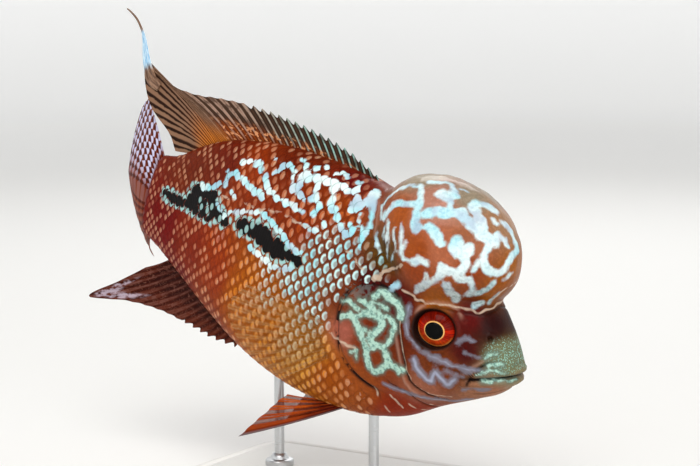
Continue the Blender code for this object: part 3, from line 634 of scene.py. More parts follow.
class Finish:
    """A material being made: its tree, its shader and the coordinates it reads."""

    def __init__(self, name, **constants):
        self.material = bpy.data.materials.new(name)
        self.material.use_nodes = True
        self.tree = self.material.node_tree
        self.shader = self.tree.nodes["Principled BSDF"]
        for key, value in constants.items():
            self.shader.inputs[key.replace("_", " ")].default_value = value
        self.place = Value(self.tree, None).node("ShaderNodeTexCoord", out=3)

    def attribute(self, name, out=2):
        """A stored number, or with out=1 a stored vector."""
        return self.place.node("ShaderNodeAttribute", {"attribute_name": name}, out=out)

    def parts(self, name):
        """The three numbers of a stored vector."""
        return self.attribute(name, 1).parts()

    def drive(self, **inputs):
        """Links values to inputs of the shader."""
        for key, value in inputs.items():
            self.tree.links.new(value.socket, self.shader.inputs[key.replace("_", " ")])

    def bump(self, height, strength, distance):
        normal = self.place.node("ShaderNodeBump", Height=height, Strength=strength, Distance=distance)
        self.drive(Normal=normal)


def linear(colour):
    """A colour as seen, 0 to 255, to the renderer's linear light."""
    seen = np.asarray(colour, float) / 255
    return tuple(np.where(seen < 0.04045, seen / 12.92, ((seen + 0.055) / 1.055) ** 2.4).tolist())


# Mesh helpers
def new_object(name, data):
    """An object of its own in the scene."""
    made = bpy.data.objects.new(name, data)
    bpy.context.scene.collection.objects.link(made)
    return made


def new_piece(name, points, faces, finish, smooth_angle=0.0, merge=0.0):
    """A piece with its faces outwards, smooth but for edges sharper than smooth_angle degrees."""
    mesh = bpy.data.meshes.new(name)
    mesh.from_pydata(np.asarray(points).tolist(), [], [list(map(int, f)) for f in faces])
    mesh.update()
    mesh.materials.append(finish)
    mesh.shade_smooth()
    if smooth_angle:
        mesh.set_sharp_from_angle(angle=math.radians(smooth_angle))
    bm = bmesh.new()
    bm.from_mesh(mesh)
    if merge:
        bmesh.ops.remove_doubles(bm, verts=bm.verts, dist=merge)
    bmesh.ops.recalc_face_normals(bm, faces=bm.faces)
    bm.to_mesh(mesh)
    bm.free()
    return new_object(name, mesh)


def lofted(rings, count, drawn_in=False):
    """Faces between closed rings of count points, and from the end rings to two more points."""
    faces = []
    last = (rings - 1) * count
    for i in range(count):
        after = (i + 1) % count
        for start in range(0, last, count):
            a, b = start + i, start + after
            faces.append((a, b, b + count, a + count))
        if drawn_in:
            faces += [(rings * count, i, after), (rings * count + 1, last + after, last + i)]
    return faces


def point_values(mesh, name, values):
    """Stores one number, or one vector, for each point of a mesh."""
    values = np.asarray(values, np.float32)
    kind = "FLOAT" if values.ndim == 1 else "FLOAT_VECTOR"
    layer = mesh.attributes.new(name, kind, "POINT")
    layer.data.foreach_set("value" if kind == "FLOAT" else "vector", values.ravel())


# Skin
TRUNK_STATIONS = np.concatenate([
    np.linspace(HEAD_CENTRE[0], HEAD_CENTRE[0] + NECK_LENGTH, NECK_RINGS + 1)[1:],
    np.linspace(HEAD_CENTRE[0] + NECK_LENGTH, SKIN_END, TRUNK_RINGS + 1)[1:],
])


def skin_rays():
    """Origins and directions of the rays whose ends are the skin's rings, snout to tail."""
    turn = np.linspace(0, 2 * math.pi, COLUMNS, endpoint=False)
    across = unit(np.stack([np.zeros(COLUMNS), np.sin(turn) * SECTION_SQUEEZE, np.cos(turn)], 1))
    lean = np.radians(np.linspace(0.35, 90, HEAD_RINGS))[:, None, None]
    head = across * np.sin(lean) - np.array((1.0, 0, 0)) * np.cos(lean)
    stations = TRUNK_STATIONS
    middle = (back_line(stations) + belly_line(stations)) / 2
    # the trunk's ray centres start at the head's and settle on the body's middle
    settle = smooth_step(HEAD_CENTRE[0], HEAD_CENTRE[0] + 30, stations)
    middle = HEAD_CENTRE[2] + (middle - HEAD_CENTRE[2]) * settle
    origins = np.concatenate([
        np.tile(HEAD_CENTRE, (HEAD_RINGS * COLUMNS, 1)),
        np.repeat(np.stack([stations, 0 * stations, middle], 1), COLUMNS, 0),
    ])
    directions = np.concatenate([head.reshape(-1, 3), np.tile(across, (len(stations), 1))])
    return origins, directions


def grid_normals(grid):
    """The direction across a grid of points at each of them."""
    along = np.gradient(grid, axis=0)
    around = (np.roll(grid, -1, 1) - np.roll(grid, 1, 1)) / 2
    return unit(np.cross(around, along))


def outline_distance(points, outline):
    """Signed distance in side view to a closed outline, negative inside."""
    corners = np.concatenate([outline, outline[:1]])
    nearest = distance_to_line(points, corners)
    inside = np.zeros(len(points), bool)
    for a, b in zip(corners[:-1], corners[1:]):
        run = b - a
        crosses = (a[1] > points[:, 1]) != (b[1] > points[:, 1])
        edge = a[0] + (points[:, 1] - a[1]) * run[0] / (run[1] if run[1] else 1e-9)
        inside ^= crosses & (points[:, 0] < edge)
    return np.where(inside, -nearest, nearest)


def closed_curve(corners, steps):
    """A smooth closed line through corners."""
    corners = np.array(corners, float)
    count = len(corners)
    smooth = []
    for i in range(count):
        before, here, after, beyond = (corners[(i + k) % count] for k in (-1, 0, 1, 2))
        for t in np.arange(steps) / steps:
            smooth.append(eased(t, here, after, (after - before) / 2, (beyond - here) / 2))
    return np.array(smooth)


def on_right(p):
    """Points mirrored to the fish's right side, which is the side that shows."""
    return p * np.where(p[:, 1:2] > 0, (1, -1, 1), 1)


def ray_end(direction):
    """Where one ray from the head's centre leaves the fish."""
    return surface_along(np.array([HEAD_CENTRE]), unit(np.array([direction])))[0]


NOSTRIL_PLACE = ray_end(np.array(NOSTRIL) - HEAD_CENTRE)


def placed(skin):
    """A skin grid's points in the frame, and its outward normals there."""
    place = pose(skin.reshape(-1, 3))
    facing = grid_normals(place.reshape(skin.shape)).reshape(-1, 3)
    facing *= np.sign(np.sum(facing[:, 1] * (place[:, 1] - place[:, 1].mean())))
    return place, facing


SKIN = surface_along(*skin_rays()).reshape(-1, COLUMNS, 3)
SKIN_PLACE, SKIN_FACING = placed(SKIN)


def camera_axes():
    """The camera's right, up and backward directions."""
    azimuth, down = math.radians(CAMERA_AZIMUTH), math.radians(CAMERA_DOWN)
    level = math.cos(down)
    back = np.array((math.sin(azimuth) * level, -math.cos(azimuth) * level, math.sin(down)))
    right = np.array((math.cos(azimuth), math.sin(azimuth), 0.0))
    return right, np.cross(back, right), back


SHOWING = 0.02  # how squarely skin faces the camera to take a mark
SAME_PIXEL = 1.8  # pixels within which skin is looked for
SAME_DEPTH = 0.006  # metres behind the nearest skin that are still the same form


def skin_under(pixels):
    """The skin's point, in straight coordinates, that shows at each pixel of the photograph."""
    right, up, back = camera_axes()
    offset = SKIN_PLACE - CAMERA_PLACE
    depth = -offset @ back
    seen = np.stack([
        PHOTO_SIZE[0] / 2 + FOCAL_PIXELS * (offset @ right) / depth,
        PHOTO_SIZE[1] / 2 - FOCAL_PIXELS * (offset @ up) / depth,
    ], 1)
    shows = np.nonzero(SKIN_FACING @ back > SHOWING)[0]
    seen, depth = seen[shows], depth[shows]
    found = []
    for pixel in np.atleast_2d(pixels):
        away = np.hypot(*(seen - pixel).T)
        close = np.nonzero(away < max(SAME_PIXEL, away.min() + 0.5))[0]
        front = close[depth[close] < depth[close].min() + SAME_DEPTH]
        found.append(shows[front[np.argmin(away[front])]])
    line = SKIN.reshape(-1, 3)[found]
    moved = np.linalg.norm(np.diff(line, axis=0), axis=1)
    return line[np.concatenate([[True], moved > 0.05])]


def smooth_line(points, steps=3):
    """More points along a line, on a smooth curve through the given ones."""
    points = np.asarray(points, float)
    if len(points) < 3:
        return points
    at = np.arange(len(points))
    fine = np.linspace(0, len(points) - 1, (len(points) - 1) * steps + 1)
    return np.stack([curve_through(list(zip(at, points[:, i])))(fine) for i in range(2)], 1)


def from_eye(p):
    """Distance from the eye's middle in side view, EYE_MEAN at its edge."""
    along = (p[:, 0] - EYE_CENTRE[0]) / EYE_RADII[0]
    return np.hypot(along, (p[:, 2] - EYE_CENTRE[2]) / EYE_RADII[2]) * EYE_MEAN


def on_hump(p):
    """1 on the hump, falling to 0 within 3 mm of its edge."""
    return smooth_step(3.0, 0.0, egg_distance(p, HUMP_CENTRE, HUMP_RADII, HUMP_TIP))


def relief(p):
    """How far each point stands out from the smooth body, in millimetres, and its folds' share, which the
    skin's colour uses for painted shade in the grooves and painted highlights on the ridges.
    """
    s, y, z = p.T
    flank = smooth_step(6, 11, np.abs(y))

    # gill cover: a raised plate with a groove behind it
    cover = outline_distance(p[:, [0, 2]], closed_curve(COVER_OUTLINE, 5))
    rear = smooth_step(50, 58, s)
    groove = flank * rear * 0.9 * swell(cover, 1.1, 0.9)
    height = flank * (0.9 * smooth_step(1.2, -1.2, cover) * (0.35 + 0.65 * rear)) - groove
    folds = -groove

    # eye: a rim round a socket
    eye = from_eye(p)
    height += flank * (0.6 * swell(eye, 9.8, 1.0) - 2.6 * smooth_step(9.0, 7.4, eye))

    # mouth: a slit between full lips
    run = MOUTH_CORNER[0] - MOUTH_TIP[0]
    slit = MOUTH_TIP[2] + (MOUTH_CORNER[2] - MOUTH_TIP[2]) * (s - MOUTH_TIP[0]) / run
    mouth = smooth_step(MOUTH_CORNER[0] + 3.0, MOUTH_CORNER[0] - 1.0, s)
    groove = mouth * swell(z, slit, 0.55)
    height -= 1.9 * groove
    folds -= 1.4 * groove * smooth_step(MOUTH_CORNER[0] - 1.0, MOUTH_CORNER[0] - 6.0, s)
    height += 0.8 * mouth * swell(np.abs(z - slit), 2.3, 1.2)

    # nostrils: a pit in a low ring
    right = on_right(p)
    pit = np.linalg.norm(right - NOSTRIL_PLACE * (1, -1, 1), axis=1)
    height += 0.35 * swell(pit, 1.9, 0.7) - 1.6 * smooth_step(NOSTRIL_RADIUS + 0.4, 0.5, pit)

    clear = smooth_step(8.6, 9.6, eye)
    for rise, half, *places in CREASES:
        line = skin_under(smooth_line(places))
        near = np.nonzero(np.all((right > line.min(0) - 3) & (right < line.max(0) + 3), axis=1))[0]
        away = distance_to_line(right[near], line)
        ends = np.minimum(*(np.linalg.norm(right[near] - end, axis=1) for end in (line[0], line[-1])))
        fold = clear[near] * rise * swell(away, 0, half) * smooth_step(0.0, 4.0, ends)
        height[near] += fold
        folds[near] += fold

    lumps = ripples(p, 15.0, 41) * 0.16 + ripples(p, 6.0, 42) * 0.05
    return height + lumps * on_hump(p), folds


def ripples(p, wavelength, seed, waves=14):
    """A smooth random field of about unit strength, the same each time."""
    draw = np.random.default_rng(seed)
    ways = unit(draw.normal(size=(waves, 3))) * 2 * math.pi / wavelength
    return np.cos(p @ ways.T + draw.uniform(0, 2 * math.pi, waves)).sum(1) * math.sqrt(2 / waves)


def stroke_lines(strokes):
    """Strokes in pixels to (half width, line) pairs on the skin, in millimetres."""
    lines = []
    for width, *places in strokes:
        line = skin_under(smooth_line(places))
        # a stroke is broken where it leaves one form for another behind it
        breaks = np.nonzero(np.linalg.norm(np.diff(line, axis=0), axis=1) > JUMP)[0] + 1
        lines += [(width * PIXEL / 2, part) for part in np.split(line, breaks)]
    return lines


def near_strokes(p, lines):
    """Signed distance in millimetres to a set of painted strokes."""
    field = np.full(len(p), FAR)
    for half, line in lines:
        low, high = line.min(0) - half - FAR, line.max(0) + half + FAR
        near = np.nonzero(np.all((p > low) & (p < high), axis=1))[0]
        if len(line) < 2:
            line = np.concatenate([line, line + 0.01])
        distance = np.minimum(distance_to_line(p[near], line) - half, FAR)
        field[near] = np.where(distance < FAR - 1, smooth_union(field[near], distance, 0.8), field[near])
    return field


RELIEF, FOLDS = relief(SKIN.reshape(-1, 3))
OUTWARD = grid_normals(SKIN)
OUTWARD *= np.sign(np.sum(OUTWARD[:, :, 1] * SKIN[:, :, 1]))
SKIN = SKIN + OUTWARD * RELIEF.reshape(*SKIN.shape[:2], 1)
SKIN_PLACE, SKIN_FACING = placed(SKIN)


def both_sides(p, field_of, seed, drift):
    """A field painted for the side that shows, mirrored with some drift onto the other side."""
    _, _, back = camera_axes()
    shows = smooth_step(-0.05, 0.18, SKIN_FACING @ back)
    wander = np.stack([ripples(p, 24.0, seed + i) for i in range(3)], 1) * drift
    wander *= smooth_step(2, 12, np.abs(p[:, 1]))[:, None]
    mirrored = (p + wander) * (1, -1, 1)
    right = p[:, 1] < 0
    direct = field_of(p + ripples(p, 5.0, seed + 7)[:, None] * 0.22)
    other = np.where(right, direct, field_of(mirrored))
    return direct * shows + other * (1 - shows)


def stroke_field(p, strokes, seed, drift=1.4, gaps=()):
    """Signed distance to strokes less gaps, on both sides of the skin."""
    lines, cuts = stroke_lines(strokes), stroke_lines(gaps)
    return both_sides(p, lambda q: np.maximum(near_strokes(q, lines), -near_strokes(q, cuts)), seed, drift)


def ground_colour(p):
    """The skin's colour without its marks, blended between the named zones."""
    places = on_right(skin_under(np.array([zone[:2] for zone in GROUND], float)))
    p = on_right(p)
    total, weight = np.zeros_like(p), np.zeros((len(p), 1))
    for (_, _, reach, colour), place in zip(GROUND, places):
        away = np.linalg.norm(p - place, axis=1, keepdims=True) / reach
        share = 1 / (0.15 + away ** 2) ** 2
        total += share * np.maximum(np.array(linear(colour)) / LIGHT_SHARE - SHEEN_LIFT, 0.0015)
        weight += share
    return total / weight


def frost_field(p):
    """How frosted the flank is at each point, from 0 to 1."""
    frost = np.zeros(len(p))
    p = on_right(p)
    spots = on_right(skin_under(np.array([spot[:2] for spot in PALE_FLANK], float)))
    for (_, _, reach, strength), place in zip(PALE_FLANK, spots):
        frost = np.maximum(frost, strength * swell(np.linalg.norm(p - place, axis=1), 0, reach * PIXEL))
    return frost


def paint(made):
    """Stores the markings of the skin, and the places of its painted shade and highlights: signed distances
    in millimetres and a ground colour.
    """
    p = SKIN.reshape(-1, 3)
    pale = stroke_field(p, HUMP_WORMS + FLANK_WORMS, 1)
    green = stroke_field(p, HEAD_LOOPS_AND_LIP_HIGHLIGHTS, 2, 0.8)
    lavender = stroke_field(p, LAVENDER_BANDS, 3, 0.8)
    dashes = smooth_line(LATERAL_LINE, 5)
    dashes = tuple((2.6, *dashes[i:i + 3]) for i in range(0, len(dashes) - 3, 4))
    fine = stroke_field(p, FINE_STROKES + HUMP_RIM + dashes, 4, 0.3)
    dark = stroke_field(p, BLOTCHES, 5, gaps=BLOTCH_DROPS)
    eye = np.where(np.abs(p[:, 1]) > 6, from_eye(p), EYE_FAR)
    lip = skin_under(np.array([SPECKLED_LIP], float))[0]
    speckle = swell(np.linalg.norm((p - lip) * (1, 0, 1), axis=1), 0, 7.5)
    # what is stored: its values over the rings, then those of the snout's and the tail's end point
    stored = {
        "skin_out": (SKIN_FACING, (1, 0, 0), (-1, 0, 0)),
        "folds": (FOLDS, 0, 0),
        "marks": (np.stack([pale, green, lavender], 1), *[(FAR, FAR, FAR)] * 2),
        "marks_dark": (np.stack([dark, fine, eye], 1), *[(FAR, FAR, EYE_FAR)] * 2),
        "ground": (ground_colour(p), *[(0.1, 0.05, 0.03)] * 2),
        "zones": (np.stack([frost_field(p), speckle, on_hump(p)], 1), *[(0, 0, 0)] * 2),
    }
    for name, (values, *ends) in stored.items():
        point_values(made.data, name, np.concatenate([values, ends]))


def make_skin():
    """One skin over head, body and tail stalk, with its marks."""
    rings = len(SKIN)
    ends = np.array([
        ray_end((-1.0, 0, 0)),
        (SKIN_END, 0, (back_line(BODY_LENGTH) + belly_line(BODY_LENGTH)) / 2),
    ])
    points = pose(np.concatenate([SKIN.reshape(-1, 3), ends]))
    made = new_piece("skin", points, lofted(rings, COLUMNS, True), flesh_finish())
    paint(made)
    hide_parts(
        "head", "torso", "tail_stalk", "lower_jaw", "nuchal_hump", "gill_cover_left",
        "gill_cover_right",
    )
    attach(made, "root")
    return made


# Fins
def midline_edge(stations):
    """A fin's outer edge in the middle plane, from its front (0) to its rear (1)."""
    s_at, z_at = curves_through(stations)
    return lambda u: np.stack([s_at(u), 0 * u, z_at(u)], 1)


def midline_root(ends, line, sink):
    """A fin's root between two stations, sink above a line of the body."""
    def root(u):
        s = ends[0] + (ends[1] - ends[0]) * u
        return np.stack([s, 0 * u, line(s) + sink], 1)

    return root


def tail_root(u):
    """The tail fin's root, from its top (0) to its bottom (1)."""
    height = STALK_MIDDLE + STALK_HALF * (1 - 2 * u)
    return np.stack([BODY_LENGTH - 4.0 + 0 * u, 0 * u, height], 1)


def paired_edges(side, ends, fan, splay, sunk=4.0):
    """Root and edge functions of a pectoral or pelvic fin."""
    angle_at, length_at = curves_through(fan)
    low, high = (np.array((p[0], side * p[1], p[2])) for p in ends)
    away = math.radians(splay)

    def direction(u):
        angle = np.radians(angle_at(u))
        flat = math.cos(away)
        return np.stack([np.cos(angle) * flat, side * math.sin(away) + 0 * u, np.sin(angle) * flat], 1)

    def root(u):
        return low + (high - low) * u[:, None] - sunk * direction(u)

    def edge(u):
        return low + (high - low) * u[:, None] + direction(u) * length_at(u)[:, None]

    return root, edge


RAY_HALF = 0.11  # half a ray's width beside the distance between rays
RAY_SPLIT = 0.16


def fin_sheet(name, root, edge, rays, finish, rows=44, across=8, spiny=0.0, trail=STRAIGHT_FROM, bow=0.12,
              wave=None, notch=(2.6, 0.7), thick=(0.42, 0.14)):
    """A fin whose rays are ridges of the membrane; soft rays split in two towards their tips.

    The first rays, a share of spiny, are spines. notch is how deep the edge falls between spines and
    between soft rays, thick is the fin's half thickness on and between the rays.
    """
    columns = (rays - 1) * across + 1
    share = np.linspace(0, 1, columns)
    phase = np.abs(((share * (rays - 1)) + 0.5) % 1 - 0.5)
    run = edge(share) - root(share)
    length = np.linalg.norm(run, axis=1)
    hollow = np.sin(math.pi * np.clip(phase * 2, 0, 1) / 2) ** 1.5
    depth = np.where(share < spiny, *notch) * hollow
    run *= (1 - depth / length)[:, None]
    t = np.linspace(0, 1, rows + 1)[:, None]
    deep = t[:, :, None]
    sag = np.array((0.0, 0.0, 1.0)) * length[:, None] * bow
    sheet = root(share) + run * deep + sag * deep * (1 - deep) * np.sign(run[:, 2:3])
    if wave is not None:
        sheet[:, :, 1] += wave(sheet) * t
    split = np.where(share < spiny, 0, RAY_SPLIT) * smooth_step(0.35, 0.9, t)
    ridge = np.maximum(swell(phase, split, RAY_HALF), swell(phase, -split, RAY_HALF))
    body = thick[1] + (thick[0] - thick[1]) * ridge
    half = body * (1 - 0.72 * t ** 1.5)
    half[-1] = 0.04
    made = solid_sheet(name, sheet, half, trail, finish)
    ray_at = np.tile(share * (rays - 1), rows + 1)
    place = np.stack([ray_at, np.repeat(t.ravel(), columns), (t * length).ravel()], 1)
    point_values(made.data, "fin_place", np.tile(place, (2, 1)))
    point_values(made.data, "fin_ray", np.tile(ridge.ravel(), 2))
    return made


def solid_sheet(name, sheet, half, trail, finish):
    """A closed piece round a sheet of points, half as thick to each side as half says."""
    rows, columns = half.shape
    world = pose(sheet.reshape(-1, 3), trail).reshape(rows, columns, 3)
    normal = unit(np.cross(np.gradient(world, axis=1), np.gradient(world, axis=0)))
    offset = normal * half[:, :, None] * MM
    points = np.concatenate([(world + offset).reshape(-1, 3), (world - offset).reshape(-1, 3)])
    return new_piece(name, points, sheet_faces(rows, columns), finish, 60)


def dorsal_thread(finish):
    """The thread, a narrow grooved ribbon rooted in the rear of the dorsal fin."""
    at = np.arange(len(DORSAL_THREAD))
    fine = np.linspace(0, at[-1], 60)
    s, z, width = (curve_through(list(zip(at, values)))(fine) for values in zip(*DORSAL_THREAD))
    run = np.gradient(np.stack([s, z], 1), axis=0)
    across = unit(np.stack([-run[:, 1], run[:, 0]], 1)) * width[:, None]
    share = np.linspace(-1, 1, 17)
    flat = np.stack([s, z], 1)[:, None] + across[:, None] * share[:, None]
    sheet = np.stack([flat[:, :, 0], 0 * flat[:, :, 0], flat[:, :, 1]], 2)
    sheet[:, :, 1] = soft_sway(sheet)
    ridges = 0.7 + 0.3 * np.cos(share * 3 * math.pi)
    half = np.linspace(0.42, 0.16, len(fine))[:, None] * ridges * (1 - 0.85 * np.abs(share) ** 6)
    made = solid_sheet("dorsal_thread", sheet, half, TRAIL_FROM, finish)
    along = np.repeat(fine / at[-1], len(share))
    place = np.stack([np.tile(share, len(fine)), along, 0 * along], 1)
    point_values(made.data, "thread_place", np.tile(place, (2, 1)))
    return made


def sheet_faces(rows, columns):
    """Faces of two grids of points, one behind the other, and of the rim between them."""
    back = rows * columns
    faces = []
    for r in range(rows - 1):
        for c in range(columns - 1):
            a, b = r * columns + c, r * columns + c + 1
            faces.append((a, b, b + columns, a + columns))
            faces.append((a + back, a + columns + back, b + columns + back, b + back))
    rim = list(range(columns))
    rim += [r * columns + columns - 1 for r in range(1, rows)]
    rim += [(rows - 1) * columns + c for c in range(columns - 2, -1, -1)]
    rim += [r * columns for r in range(rows - 2, 0, -1)]
    for a, b in zip(rim, rim[1:] + rim[:1]):
        faces.append((b, a, a + back, b + back))
    return faces


def soft_sway(sheet):
    """How far the dorsal and anal fins wave to the left."""
    s = sheet[:, :, 0]
    return SWAY * np.clip((s - SWAY_FROM) / SWAY_RUN, 0, 1.2) * np.sin(s * SWAY_RATE)


def tail_wave(sheet):
    """The tail fin's belly towards the right, and the twist of its two lobes."""
    height = sheet[:, :, 2] - STALK_MIDDLE
    belly = TAIL_BELLY * np.cos(np.clip(height / TAIL_BELLY_HEIGHT, -0.55, 0.55) * math.pi)
    return -belly - np.where(height > 0, *TAIL_TWIST) * height


# Finishes
def skin_paint(f, scale=None):
    """The fish's colours from its stored marks, with painted shade and highlights, for the bare skin or for
    the scales.

    scale is the lengthwise and crosswise place on a scale, -1 to 1, and its luck, a random number for
    each scale. Returns the colour, the share of the pale marks and the share of the hump.
    """
    place = f.place
    wavy = (place.noise(170.0) - 0.5) * 1.5
    ragged = (place.noise(480.0, 3.0, 0.65) - 0.5) * 1.2 + wavy
    pale, green, lavender = f.parts("marks")
    dark, fine, eye = f.parts("marks_dark")
    frost, speckle, hump = f.parts("zones")
    ground = f.attribute("ground", 1)
    mottle = place.noise(95.0, 3.0, 0.6).above(0.5, 0.5)
    colour = (mottle * 0.5).blend(ground.tint((0.66, 0.58, 0.52)), ground)
    grain = place.noise(700.0, 2.0, 0.6).above(0.56, 0.25) * 0.25
    colour = grain.blend(colour, ground.tint((1.5, 1.35, 1.3)))
    cool = place.noise(60.0).above(0.5, 0.3)
    mauve = place.noise(85.0, 2.0, 0.6, warp=0.4).above(0.56, 0.2) * 0.6
    fleck = place.noise(620.0, 2.0, 0.6).above(0.45, 0.3)
    snow = cool.blend(linear((226, 240, 238)), linear((150, 216, 226)))
    snow = (hump * 0.4).blend(snow, fleck.blend(linear((140, 178, 192)), linear((212, 232, 236))))
    snow = mauve.blend(snow, linear((156, 170, 194)))
    height = place.parts()[2]
    # painted shade: the pale marks darker and greyer low on the hump, below a height of 0.104 m
    low_hump_shade = (height + wavy * 0.004).below(0.104, 0.014) * hump * 0.75
    snow = low_hump_shade.blend(snow, fleck.blend(linear((112, 116, 108)), linear((166, 174, 172))))
    mint = fleck.blend(linear((108, 150, 140)), linear((176, 214, 198)))
    if scale is None:
        colour = (speckle.above(0.4, 0.5) * 0.75).blend(colour, linear((104, 108, 78)))
        dots = (place.noise(1500.0) + speckle * 0.08).above(0.63, 0.1) * speckle.above(0.35, 0.4)
        colour = (dots * 0.75).blend(colour, linear((136, 190, 176)))
        folds = f.attribute("folds")
        # painted shade in the grooves of the folds and a painted highlight on their ridges, as deep as the
        # stored folds say
        colour = (folds * -1.5).clip().blend(colour, linear((24, 8, 4)))
        colour = (folds * 0.9).clip().blend(colour, linear((190, 150, 130)))
        soft = (place.noise(150.0, 3.0, 0.6) - 0.5) * 2.6
        pale_at = (pale + ragged * 0.8 + soft).below(-0.25, 1.5) * 0.97
        frost_at = (frost + (place.noise(420.0, 2.0, 0.6) - 0.5) * 1.6).above(0.9, 0.3) * 0.2
        tone = linear((128, 168, 164))
        dark_at = (dark + ragged * 1.2).below(0.0, 0.6)
        halo = (dark + ragged).below(1.2, 0.8)
    else:
        u, v, luck = scale
        # each scale: a pale oval where it is frosted, its middle cut out darker as painted shade so that a
        # pale crescent stays, and a dark free edge
        shape = (1.0 - (u - 0.42).squared() * 6.6 - v.squared() * 2.2).math("MAXIMUM", -0.8)
        rim = (u.squared() + v.squared() * 0.9).above(0.8, 0.36)
        pale_at = (pale + ragged * 0.8 + 0.45 - shape * 0.6).below(0.1, 0.7)
        snow = (rim * 0.42 + (1 - fleck) * 0.12).blend(snow, linear((92, 128, 126)))
        keep = (frost + 0.2 + (luck - 0.5) * 0.45).above(0.3, 0.45)
        # the cut-out middle of the pale oval is painted shade, where the scale before it shades this one
        inner = 1.0 - (u - 0.16).squared() * 6.0 - v.squared() * 5.0
        hollow = inner.above(0.25, 0.8) * (0.5 + luck * 0.4)
        oval = (shape + ragged * 0.55 + frost * 0.4).above(0.66, 0.45)
        frost_at = (oval - hollow).clip() * keep
        icy = frost.above(0.5, 0.5)
        bright = cool.blend(linear((200, 226, 222)), linear((140, 206, 214)))
        tone = icy.blend(ground.tint((1.7, 2.3, 3.4)), bright)
        colour = (rim * (0.38 + icy * 0.34)).blend(colour, colour.tint((0.3, 0.22, 0.2)))
        # a sandy fleck on some of the scales that aren't frosted
        fleck = 1.0 - (u - 0.45).squared() * 13.0 - v.squared() * 3.6 + ragged * 0.9
        fleck = fleck.above(0.25, 1.0) * (luck + wavy * 0.6).above(0.46, 0.6) * (1 - icy) * 0.75
        sand = (luck * 0.9).clip().blend(ground.tint((1.6, 2.0, 2.8)), linear((212, 168, 132)))
        colour = fleck.blend(colour, sand)
        dark_at = (dark + ragged * 0.6 + 0.15 - shape * 0.8).below(0.0, 0.5)
        dark_at = dark_at * (1 - shape.above(0.5, 0.3) * luck.above(0.82, 0.02) * 0.75)
        halo = (dark + ragged - shape * 0.6).below(1.5, 1.1) * shape.above(-0.1, 0.8)
        halo = halo * (luck.above(0.05, 0.6) * 0.9)
    colour = frost_at.blend(colour, tone)
    colour = halo.blend(colour, linear((156, 206, 204)))
    colour = dark_at.blend(colour, (0.006, 0.005, 0.005))
    veil = lavender.below(-1.2, 1.4).blend(linear((112, 112, 124)), linear((164, 176, 200)))
    colour = ((lavender + ragged * 2.0).below(0.0, 1.7) * 0.8).blend(colour, veil)
    # the mint strokes with a darker rim: the head's loops, and painted highlights along the lips
    colour = ((green + ragged * 1.5).below(1.2, 1.8) * 0.65).blend(colour, linear((88, 104, 92)))
    colour = ((green + ragged * 1.4).below(0.1, 1.0) * 0.88).blend(colour, mint)
    colour = pale_at.blend(colour, snow)
    colour = ((fine + ragged * 0.2).below(0.0, 0.6) * 0.8).blend(colour, linear((196, 172, 150)))
    # painted shade: the skin of the eye's socket, round the eyeball, near-black
    colour = eye.below(9.6, 1.6).blend(colour, linear((30, 14, 10)))
    return colour, pale_at, hump


def flesh_finish():
    """Bare wet skin of head, hump and throat."""
    f = Finish("living skin", Roughness=0.45, Specular_IOR_Level=0.05, Coat_Roughness=0.12, Coat_IOR=1.4)
    colour, pale_at, hump = skin_paint(f)
    f.drive(Base_Color=colour, Coat_Weight=0.05 + f.place.noise(120.0) * 0.1 + hump * 0.24)
    pores = f.place.node("ShaderNodeTexVoronoi", Vector=f.place, Scale=900.0)
    f.bump(f.place.noise(500.0, 3.0, 0.6) * 0.6 + pores * 0.3 + pale_at * 0.3, 0.3, 0.0005)
    return f.material


def scale_finish():
    """Scales: one pale oval on each where the flank is frosted, bright where a mark crosses."""
    f = Finish("scale enamel", Specular_IOR_Level=0.05, Coat_Roughness=0.14, Coat_IOR=1.4)
    u, v, _ = f.parts("scale_place")
    colour, pale_at, _ = skin_paint(f, (u, v, f.attribute("scale_luck")))
    f.drive(Base_Color=colour, Coat_Weight=0.08 + pale_at * 0.24, Roughness=0.46 - pale_at * 0.1)
    growth = (u * 22.0).math("SINE")
    f.bump(f.place.noise(800.0, 2.0, 0.6) + growth * 0.2, 0.2, 0.0004)
    return f.material


def eye_finish():
    """Red iris with radial fibres round a black pupil with a pale gold rim."""
    f = Finish(
        "eye glass", Roughness=0.45, Specular_IOR_Level=0.0, Coat_Weight=0.25, Coat_Roughness=0.02,
        Coat_IOR=1.33,
    )
    x, y, out = f.parts("iris_place")
    far = (x.squared() + y.squared()) ** 0.5
    fibre = f.place.vector(x, y).vector_math("NORMALIZE").noise(13.0, 3.0, 0.65)
    cloud = f.place.noise(420.0)
    red = fibre.above(0.52, 0.3).blend(linear((116, 6, 0)), linear((196, 36, 4)))
    low = (0.1 - y).above(0.45, 0.6) * 0.5
    iris = low.blend(red, linear((190, 78, 24)))
    # painted shade of the upper lid over the top of the iris
    iris = (y.above(0.3, 0.5) * 0.75).blend(iris, linear((58, 6, 2)))
    iris = (cloud.above(0.6, 0.2) * 0.4).blend(iris, linear((96, 12, 4)))
    ring = far.above(PUPIL_EDGE, 0.02) - far.above(PUPIL_EDGE + 0.05, 0.05)
    colour = ring.blend(iris, linear((232, 178, 104)))
    colour = far.above(PUPIL_EDGE, 0.02).blend((0.002, 0.002, 0.002), colour)
    glow = (far.above(0.8, 0.08) - far.above(0.88, 0.06)) * (0.2 - y).above(0.4, 0.5) * 0.7
    colour = glow.blend(colour, linear((230, 150, 70)))
    edge = (far + fibre * 0.08).above(0.94, 0.08)
    colour = edge.blend(colour, linear((52, 14, 8)))
    f.drive(Base_Color=out.below(0.0, 0.05).blend(colour, linear((40, 12, 8))))
    f.bump(fibre, 0.15, 0.0003)
    return f.material


